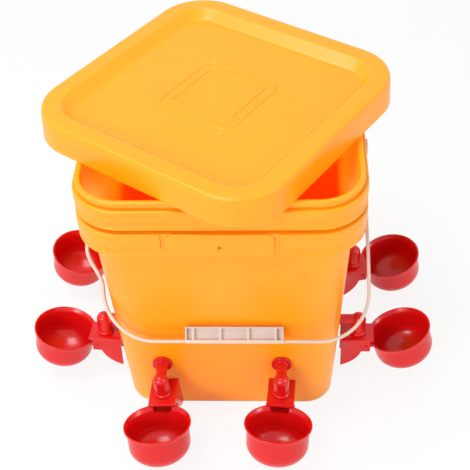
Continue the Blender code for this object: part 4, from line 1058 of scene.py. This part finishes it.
def make_housing(sizes):
    """Plate, side plates, front edge and collar, in the swivel's frame."""
    half = HOUSING_HALF
    plate = filleted_loop([(-PLATE_BACK, -half), (PLATE_FRONT, -half), (PLATE_FRONT, half),
                           (-PLATE_BACK, half)], 0.0007, 5)
    steps = []
    side = slab(side_plate_outline(), SIDE_INNER, half - SIDE_INSET, sizes.edge_round, "xzy")
    steps.append(("UNION", side))
    steps.append(("UNION", (side[0] * (1, -1, 1), side[1])))
    low = (PLATE_FRONT - FASCIA_THICK, -SIDE_INNER - 0.0005, PLATE_UNDER - FASCIA_DEPTH)
    high = (PLATE_FRONT - 0.0001, SIDE_INNER + 0.0005, PLATE_UNDER + 0.0008)
    steps.append(("UNION", box(low, high, 0.0003, "yzx")))
    foot = PLATE_UNDER - COLLAR_HEIGHT
    collar = [(0, foot), (COLLAR_RADIUS - 0.0002, foot), (COLLAR_RADIUS, foot + 0.0002),
              (COLLAR_RADIUS, PLATE_UNDER + 0.0006), (0, PLATE_UNDER + 0.0006)]
    steps.append(("UNION", turned(collar, 40)))
    nub = np.radians(np.linspace(90, -30, 8))
    nub = [(0, sizes.nub_radius), *[(sizes.nub_radius * math.cos(a), sizes.nub_radius * math.sin(a))
                                    for a in nub[1:]], (0, -0.5 * sizes.nub_radius)]
    steps.append(("UNION", moved(turned(nub, 20), (PLATE_FRONT - 0.0018, 0, PLATE_TOP - 0.0003))))
    steps.append(("DIFFERENCE", cylinder(COLLAR_BORE, foot - 0.002, PLATE_TOP + 0.002, 40)))
    bore = along_y(cylinder(PIN_RADIUS + GAP, -half - 0.003, half + 0.003, 28))
    steps.append(("DIFFERENCE", moved(bore, (HINGE_OUT, 0, -HINGE_BELOW))))
    return carved("housing", slab(plate, PLATE_UNDER, PLATE_TOP, 0.0004), *steps)


def make_pin():
    """A straight pin with chamfered ends, in the swivel's frame."""
    end = HOUSING_HALF + PIN_PROUD
    profile = filleted([(0, -end), (PIN_RADIUS, -end), (PIN_RADIUS, end), (0, end)],
                       [0, 0.0004, 0.0004, 0], 3)
    pin = along_y(turned(profile, 28))
    return new_mesh("pin", *moved(pin, (HINGE_OUT, 0, -HINGE_BELOW)))


def pad_place():
    """The pad's centre behind the pin and its top, in the cup's frame, from the closed valve."""
    x = -HINGE_OUT
    z = HINGE_BELOW - NOZZLE_BELOW - GAP
    sin, cos = math.sin(CLOSED_TILT), math.cos(CLOSED_TILT)
    return x * cos + z * sin, z * cos - x * sin


def make_spring(sizes, tilt):
    """The return spring in the swivel's frame: a helix that falls evenly from a level ring under
    the plate to a tilted ring round the pad's socket, and moves sideways with the way squared."""
    wire = sizes.spring_wire / 2
    share = np.linspace(0, 1, 113)
    angle = math.tau * SPRING_TURNS * share
    x, y = SPRING_RADIUS * np.cos(angle), SPRING_RADIUS * np.sin(angle)
    seat = TROUGH_FLOOR + GAP + wire
    sin, cos = math.sin(tilt), math.cos(tilt)
    along = pad_place()[0] + x
    end_x = HINGE_OUT + along * cos - seat * sin
    end_z = -HINGE_BELOW + along * sin + seat * cos
    top = PLATE_UNDER - GAP - wire
    line = np.stack([x + (end_x - x) * share ** 2, y, top + (end_z - top) * share], axis=-1)
    out = np.stack([np.cos(angle), np.sin(angle), np.zeros_like(angle)], axis=-1)
    return new_mesh("spring", *tube_along(line, wire, 10, out))


# Cup and pad

def cup_bottom(radius, straight, depth, steps):
    """The round bottom as (radius, depth below the mouth), a quarter of an ellipse."""
    angle = np.linspace(0, math.pi / 2, steps + 1)
    line = np.stack([radius * np.cos(angle), -straight - (depth - straight) * np.sin(angle)], axis=-1)
    line[-1, 0] = 0
    return line


def trough_outline(half, floor, top, corner):
    """A U with round lower corners, as (y, z)."""
    return filleted_loop([(-half, top), (-half, floor), (half, floor), (half, top)],
                         [0, corner * 1.4, corner * 1.4, 0], 8)


def make_cup(sizes):
    """Bowl and trough in the hinge's frame: turned outside and hollow, with the trough joined on
    and its channel, pin hole and pad socket cut or set in."""
    centre = (CUP_OUT, 0, CUP_RISE)
    lip = CUP_LIP_RADIUS
    inner = CUP_RADIUS - CUP_WALL
    flare = lip - CUP_WALL
    outside = filleted([(0, 0), (lip, 0), (lip - 0.0001, -0.0016), (CUP_RADIUS, -CUP_LIP),
                        (CUP_RADIUS, -CUP_STRAIGHT * 0.6)], [0, 0.0007, 0.0005, 0.004, 0], 6)
    outside = np.vstack([outside, cup_bottom(CUP_RADIUS, CUP_STRAIGHT, CUP_DEPTH, 22)])
    above = 0.004
    hollow = filleted([(0, above), (flare + 0.0008, above), (flare + 0.0008, 0.0002), (flare, -0.0004),
                       (inner, -CUP_LIP), (inner, -CUP_STRAIGHT * 0.6)], [0, 0, 0, 0.0009, 0.012, 0], 8)
    hollow = np.vstack([hollow, cup_bottom(inner, CUP_STRAIGHT, CUP_DEPTH - CUP_WALL, 22)])
    trough = slab(trough_outline(TROUGH_HALF, -TROUGH_BELOW, CUP_RISE - 0.0002, TROUGH_CORNER),
                  -TROUGH_BEHIND, TROUGH_INTO_CUP, sizes.edge_round, "yzx")
    channel = slab(trough_outline(TROUGH_HALF - CUP_WALL, TROUGH_FLOOR, CUP_RISE + 0.006,
                                  TROUGH_CORNER - CUP_WALL),
                   CUP_WALL - TROUGH_BEHIND, TROUGH_INTO_CUP + 0.004, 0.0008, "yzx")
    bore = along_y(cylinder(PIN_RADIUS + GAP, -HOUSING_HALF, HOUSING_HALF, 28))
    inside = PAD_RADIUS + GAP
    low, high = TROUGH_FLOOR - 0.0005, TROUGH_FLOOR + PAD_SOCKET_HEIGHT
    socket = filleted_loop([(inside, low), (inside + PAD_SOCKET_WALL, low),
                            (inside + PAD_SOCKET_WALL, high), (inside, high)], 0.0002, 3)
    socket = moved(turned(socket, 36, closed=True), (pad_place()[0], 0, 0))
    return carved("cup", moved(turned(outside, 96), centre), ("UNION", trough),
                  ("DIFFERENCE", moved(turned(hollow, 96), centre)), ("DIFFERENCE", channel),
                  ("DIFFERENCE", bore), ("UNION", socket))


def make_pad():
    """The valve pad in the hinge's frame, with its face slightly domed."""
    x, top = pad_place()
    low = TROUGH_FLOOR + GAP
    profile = filleted([(0, low), (PAD_RADIUS, low), (PAD_RADIUS, top - 0.0002), (0, top)],
                       [0, 0.0003, 0.0005, 0], 4)
    return new_mesh("pad", *moved(turned(profile, 32), (x, 0, 0)))


# Interface

class DrinkerSizes(bpy.types.PropertyGroup):
    edge_round: bpy.props.FloatProperty(name="Edge round", description="Round on the thin edges",
                                        default=0.0004, unit="LENGTH")
    strip_round: bpy.props.FloatProperty(name="Bail round", description="Round along the bail's strip",
                                         default=0.0009, unit="LENGTH")
    ridge_round: bpy.props.FloatProperty(name="Ridge round", description="Round on the lid's ridges",
                                         default=0.0004, unit="LENGTH")
    lid_crown: bpy.props.FloatProperty(name="Lid crown", description="Rise of the lid's panel in its middle",
                                       default=0.0006, unit="LENGTH")
    thread_pitch: bpy.props.FloatProperty(name="Thread pitch", description="Way along the inlet per turn",
                                          default=0.0015, unit="LENGTH")
    thread_depth: bpy.props.FloatProperty(name="Thread depth", description="Depth of the inlet's thread",
                                          default=0.0006, unit="LENGTH")
    nub_radius: bpy.props.FloatProperty(name="Nub radius", description="Gate mark on the housing's plate",
                                        default=0.0007, unit="LENGTH")
    spring_wire: bpy.props.FloatProperty(name="Spring wire", description="Diameter of the spring's wire",
                                         default=0.0008, unit="LENGTH")
    floor_half: bpy.props.FloatProperty(name="Floor", description="Half the floor's width",
                                        default=9.0, unit="LENGTH")


def colour(name, default):
    return bpy.props.FloatVectorProperty(name=name, description=name + " as linear red, green and blue",
                                         subtype="COLOR", size=3, default=default, min=0, max=1)


class DrinkerColours(bpy.types.PropertyGroup):
    yellow: colour("Yellow", (0.98, 0.375, 0.003))
    yellow_deep: colour("Deep yellow", (0.95, 0.335, 0.003))
    red: colour("Red", (0.70, 0.006, 0.006))
    red_deep: colour("Deep red", (0.60, 0.004, 0.004))
    white: colour("White", (0.70, 0.56, 0.49))
    white_deep: colour("Warm white", (0.64, 0.49, 0.42))
    rubber: colour("Rubber", (0.018, 0.018, 0.018))
    steel: colour("Steel", (0.62, 0.62, 0.60))
    floor: colour("Floor", (0.90, 0.90, 0.90))


class DRINKER_OT_pail(bpy.types.Operator):
    """Build the pail with its skirts, tab, bosses and holes"""
    bl_idname = "drinker.pail"
    bl_label = "Pail"

    def execute(self, context):
        mesh = make_pail(context.scene.drinker_sizes)
        finish_piece("pail_shell", mesh, yellow_plastic(), "pail", ["bucket"])
        return {"FINISHED"}


class DRINKER_OT_lid(bpy.types.Operator):
    """Build the lid that lies turned on the rim"""
    bl_idname = "drinker.lid"
    bl_label = "Lid"

    def execute(self, context):
        mesh = make_lid(context.scene.drinker_sizes)
        finish_piece("lid_shell", mesh, yellow_plastic(), "lid", ["lid"])
        return {"FINISHED"}


class DRINKER_OT_bail(bpy.types.Operator):
    """Build the bail with its grip and pivots"""
    bl_idname = "drinker.bail"
    bl_label = "Bail"

    def execute(self, context):
        mesh = make_bail(context.scene.drinker_sizes)
        finish_piece("bail_strip", mesh, white_plastic(), "bail", ["bail"])
        return {"FINISHED"}


class DRINKER_OT_fittings(bpy.types.Operator):
    """Build each unit's inlet elbow, wall seal, lock nut and o-ring"""
    bl_idname = "drinker.fittings"
    bl_label = "Wall fittings"

    def execute(self, context):
        elbow = make_elbow(context.scene.drinker_sizes)
        seal, nut, ring = make_seal(), make_nut(), make_o_ring()
        face = -WALL - GAP
        for unit in UNITS:
            matrix = fitting_frame(unit)
            own_elbow, own_seal = elbow.copy(), seal.copy()
            follow_wall(own_elbow, matrix, GAP + FLANGE_THICK, GAP)
            follow_wall(own_seal, matrix, face - SEAL_THICK, face)
            for mesh, part, material, slot in (
                    (own_elbow, "inlet_elbow", red_plastic(), "red_plastic"),
                    (own_seal, "wall_seal", rubber(), "black_rubber"),
                    (nut, "lock_nut", red_plastic(), "red_plastic"),
                    (ring, "stem_o_ring", rubber(), "black_rubber")):
                name = f"{unit}_{part}"
                finish_piece(name + "_fine", carried(mesh, matrix, name), material, "pail", [name])
        return {"FINISHED"}


class DRINKER_OT_housings(bpy.types.Operator):
    """Build each unit's valve housing, hinge pin and return spring"""
    bl_idname = "drinker.housings"
    bl_label = "Valve housings"

    def execute(self, context):
        sizes = context.scene.drinker_sizes
        housing, pin = make_housing(sizes), make_pin()
        for unit in UNITS:
            matrix = swivel_frame(unit)
            tilt = math.radians(JOINTS[unit + "_cup_tip"]["range_deg"][1]) + CLOSED_TILT
            for mesh, part in ((housing, "valve_housing"), (pin, "hinge_pin")):
                name = f"{unit}_{part}"
                finish_piece(name + "_fine", carried(mesh, matrix, name), red_plastic(),
                             unit + "_housing", [name])
            name = unit + "_return_spring"
            piece = finish_piece(name + "_fine", carried(make_spring(sizes, tilt), matrix, name), steel(),
                                 None, [name])
            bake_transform(piece)
        return {"FINISHED"}


class DRINKER_OT_cups(bpy.types.Operator):
    """Build each unit's cup and valve pad"""
    bl_idname = "drinker.cups"
    bl_label = "Cups"

    def execute(self, context):
        cup, pad = make_cup(context.scene.drinker_sizes), make_pad()
        for unit in UNITS:
            matrix = hinge_frame(unit)
            for mesh, part, material, slot in ((cup, "cup", red_plastic(), "red_plastic"),
                                               (pad, "valve_pad", rubber(), "black_rubber")):
                name = f"{unit}_{part}"
                finish_piece(name + "_fine", carried(mesh, matrix, name), material,
                             unit + "_cup", [name])
        return {"FINISHED"}


WORLD_LIGHT = 0.52
FLOOR_WHITE = 0.86          # share of plain white in how the floor is seen
DIFFUSE_BOUNCES = 16        # for the light inside the pail
# Each lamp's name, place, target, size, power and tint. The last stands in for the light that comes
# into the pail through its thin walls.
LAMPS = (
    ("overhead", (-0.5, -0.1, 1.7), (0, 0, 0.1), (0.8, 0.8), 15),
    ("front", (-0.9, -1.6, 1.0), (0, 0, 0.12), (0.8, 0.6), 17),
    ("right", (1.6, -0.5, 0.8), (0, 0, 0.12), (0.4, 0.8), 8),
    ("glow through the walls", (0, 0, 0.16), (0, 0, 0.3), (0.12, 0.12), 0.4, (1.0, 0.5, 0.12)),
)


def area_light(name, place, target, size, power, tint=(1, 1, 1)):
    """A square lamp at a place, facing a target."""
    data = bpy.data.lights.new(name, "AREA")
    data.shape = "RECTANGLE"
    data.size, data.size_y = size
    data.energy = power
    data.color = tint
    lamp = bpy.data.objects.new(name, data)
    bpy.context.scene.collection.objects.link(lamp)
    away = Matrix.Translation(place).translation - Matrix.Translation(target).translation
    lamp.matrix_world = Matrix.Translation(place) @ away.to_track_quat("Z", "Y").to_matrix().to_4x4()


def seen_directly(tree):
    """1 for rays of the camera, of reflections and through clear matter, and 0 for light."""
    paths = tree.nodes.new("ShaderNodeLightPath")
    seen = paths.outputs["Is Camera Ray"]
    for ray in ("Is Glossy Ray", "Is Transmission Ray"):
        either = tree.nodes.new("ShaderNodeMath")
        either.operation = "MAXIMUM"
        tree.links.new(seen, either.inputs[0])
        tree.links.new(paths.outputs[ray], either.inputs[1])
        seen = either.outputs["Value"]
    return seen


def floor_material(tint):
    """Pale floor: plain diffuse to the object, and seen nearly white with faint shadows."""
    material, tree, shader = shader_tree("studio floor")
    shader.inputs["Base Color"].default_value = (*tint, 1)
    shader.inputs["Roughness"].default_value = 0.9
    shader.inputs["Specular IOR Level"].default_value = 0.1
    share = remap(tree, seen_directly(tree), 0.0, FLOOR_WHITE)
    glow = add_node(tree, "ShaderNodeEmission", Strength=1.0)
    mix = tree.nodes.new("ShaderNodeMixShader")
    tree.links.new(share, mix.inputs["Fac"])
    tree.links.new(shader.outputs["BSDF"], mix.inputs[1])
    tree.links.new(glow.outputs["Emission"], mix.inputs[2])
    output = next(node for node in tree.nodes if node.bl_idname == "ShaderNodeOutputMaterial")
    tree.links.new(mix.outputs["Shader"], output.inputs["Surface"])
    return material


class DRINKER_OT_stage(bpy.types.Operator):
    """Set up the floor, the lamps, the world and the camera"""
    bl_idname = "drinker.stage"
    bl_label = "Stage"

    def execute(self, context):
        scene = context.scene
        reach = scene.drinker_sizes.floor_half
        corners = np.array([(-reach, -reach, 0), (reach, -reach, 0), (reach, reach, 0), (-reach, reach, 0)])
        mesh = bpy.data.meshes.new("floor")
        mesh.from_pydata(corners, [], [[0, 1, 2, 3]])
        mesh.materials.append(floor_material(scene.drinker_colours.floor))
        new_object("floor", mesh)
        world = bpy.data.worlds.new("studio")
        scene.world = world
        world.use_nodes = True
        background = world.node_tree.nodes["Background"]
        background.inputs["Color"].default_value = (1, 1, 1, 1)
        strength = remap(world.node_tree, seen_directly(world.node_tree), WORLD_LIGHT, 1.0)
        world.node_tree.links.new(strength, background.inputs["Strength"])
        for lamp in LAMPS:
            area_light(*lamp)
        data = bpy.data.cameras.new("camera")
        data.lens = CAMERA_LENS
        data.sensor_width = CAMERA_SENSOR
        camera = new_object("camera", data)
        camera.matrix_world = Matrix(camera_frame().tolist())
        scene.camera = camera
        scene.view_settings.view_transform = "Standard"
        scene.cycles.max_bounces = DIFFUSE_BOUNCES + 4
        scene.cycles.diffuse_bounces = DIFFUSE_BOUNCES
        return {"FINISHED"}


def camera_frame():
    """The camera's matrix: it looks along the yaw, turned down by the pitch, and is then rolled."""
    ahead = np.array([math.sin(CAMERA_YAW), math.cos(CAMERA_YAW), 0])
    right = np.array([math.cos(CAMERA_YAW), -math.sin(CAMERA_YAW), 0])
    look = math.cos(CAMERA_PITCH) * ahead - math.sin(CAMERA_PITCH) * np.array([0, 0, 1])
    down = np.cross(look, right)
    side = math.cos(CAMERA_ROLL) * right + math.sin(CAMERA_ROLL) * down
    return frame_of(CAMERA_PLACE, side, -look)


class DRINKER_PT_panel(bpy.types.Panel):
    """Buttons and values for the drinker"""
    bl_label = "Poultry Cup Drinker"
    bl_space_type = "VIEW_3D"
    bl_region_type = "UI"
    bl_category = "Drinker"

    def draw(self, context):
        for group in (context.scene.drinker_sizes, context.scene.drinker_colours):
            for key in group.__annotations__:
                self.layout.prop(group, key)
        for operator in OPERATORS:
            self.layout.operator(operator.bl_idname)


OPERATORS = (DRINKER_OT_stage, DRINKER_OT_pail, DRINKER_OT_lid, DRINKER_OT_bail, DRINKER_OT_fittings,
             DRINKER_OT_housings, DRINKER_OT_cups)
CLASSES = (DrinkerSizes, DrinkerColours, *OPERATORS, DRINKER_PT_panel)


def register():
    for cls in CLASSES:
        bpy.utils.register_class(cls)
    bpy.types.Scene.drinker_sizes = bpy.props.PointerProperty(type=DrinkerSizes)
    bpy.types.Scene.drinker_colours = bpy.props.PointerProperty(type=DrinkerColours)


def unregister():
    del bpy.types.Scene.drinker_colours
    del bpy.types.Scene.drinker_sizes
    for cls in reversed(CLASSES):
        bpy.utils.unregister_class(cls)


def main():
    register()
    bpy.ops.drinker.stage()
    bpy.ops.drinker.pail()
    bpy.ops.drinker.lid()
    bpy.ops.drinker.bail()
    bpy.ops.drinker.fittings()
    bpy.ops.drinker.housings()
    bpy.ops.drinker.cups()


if __name__ == "__main__":
    main()
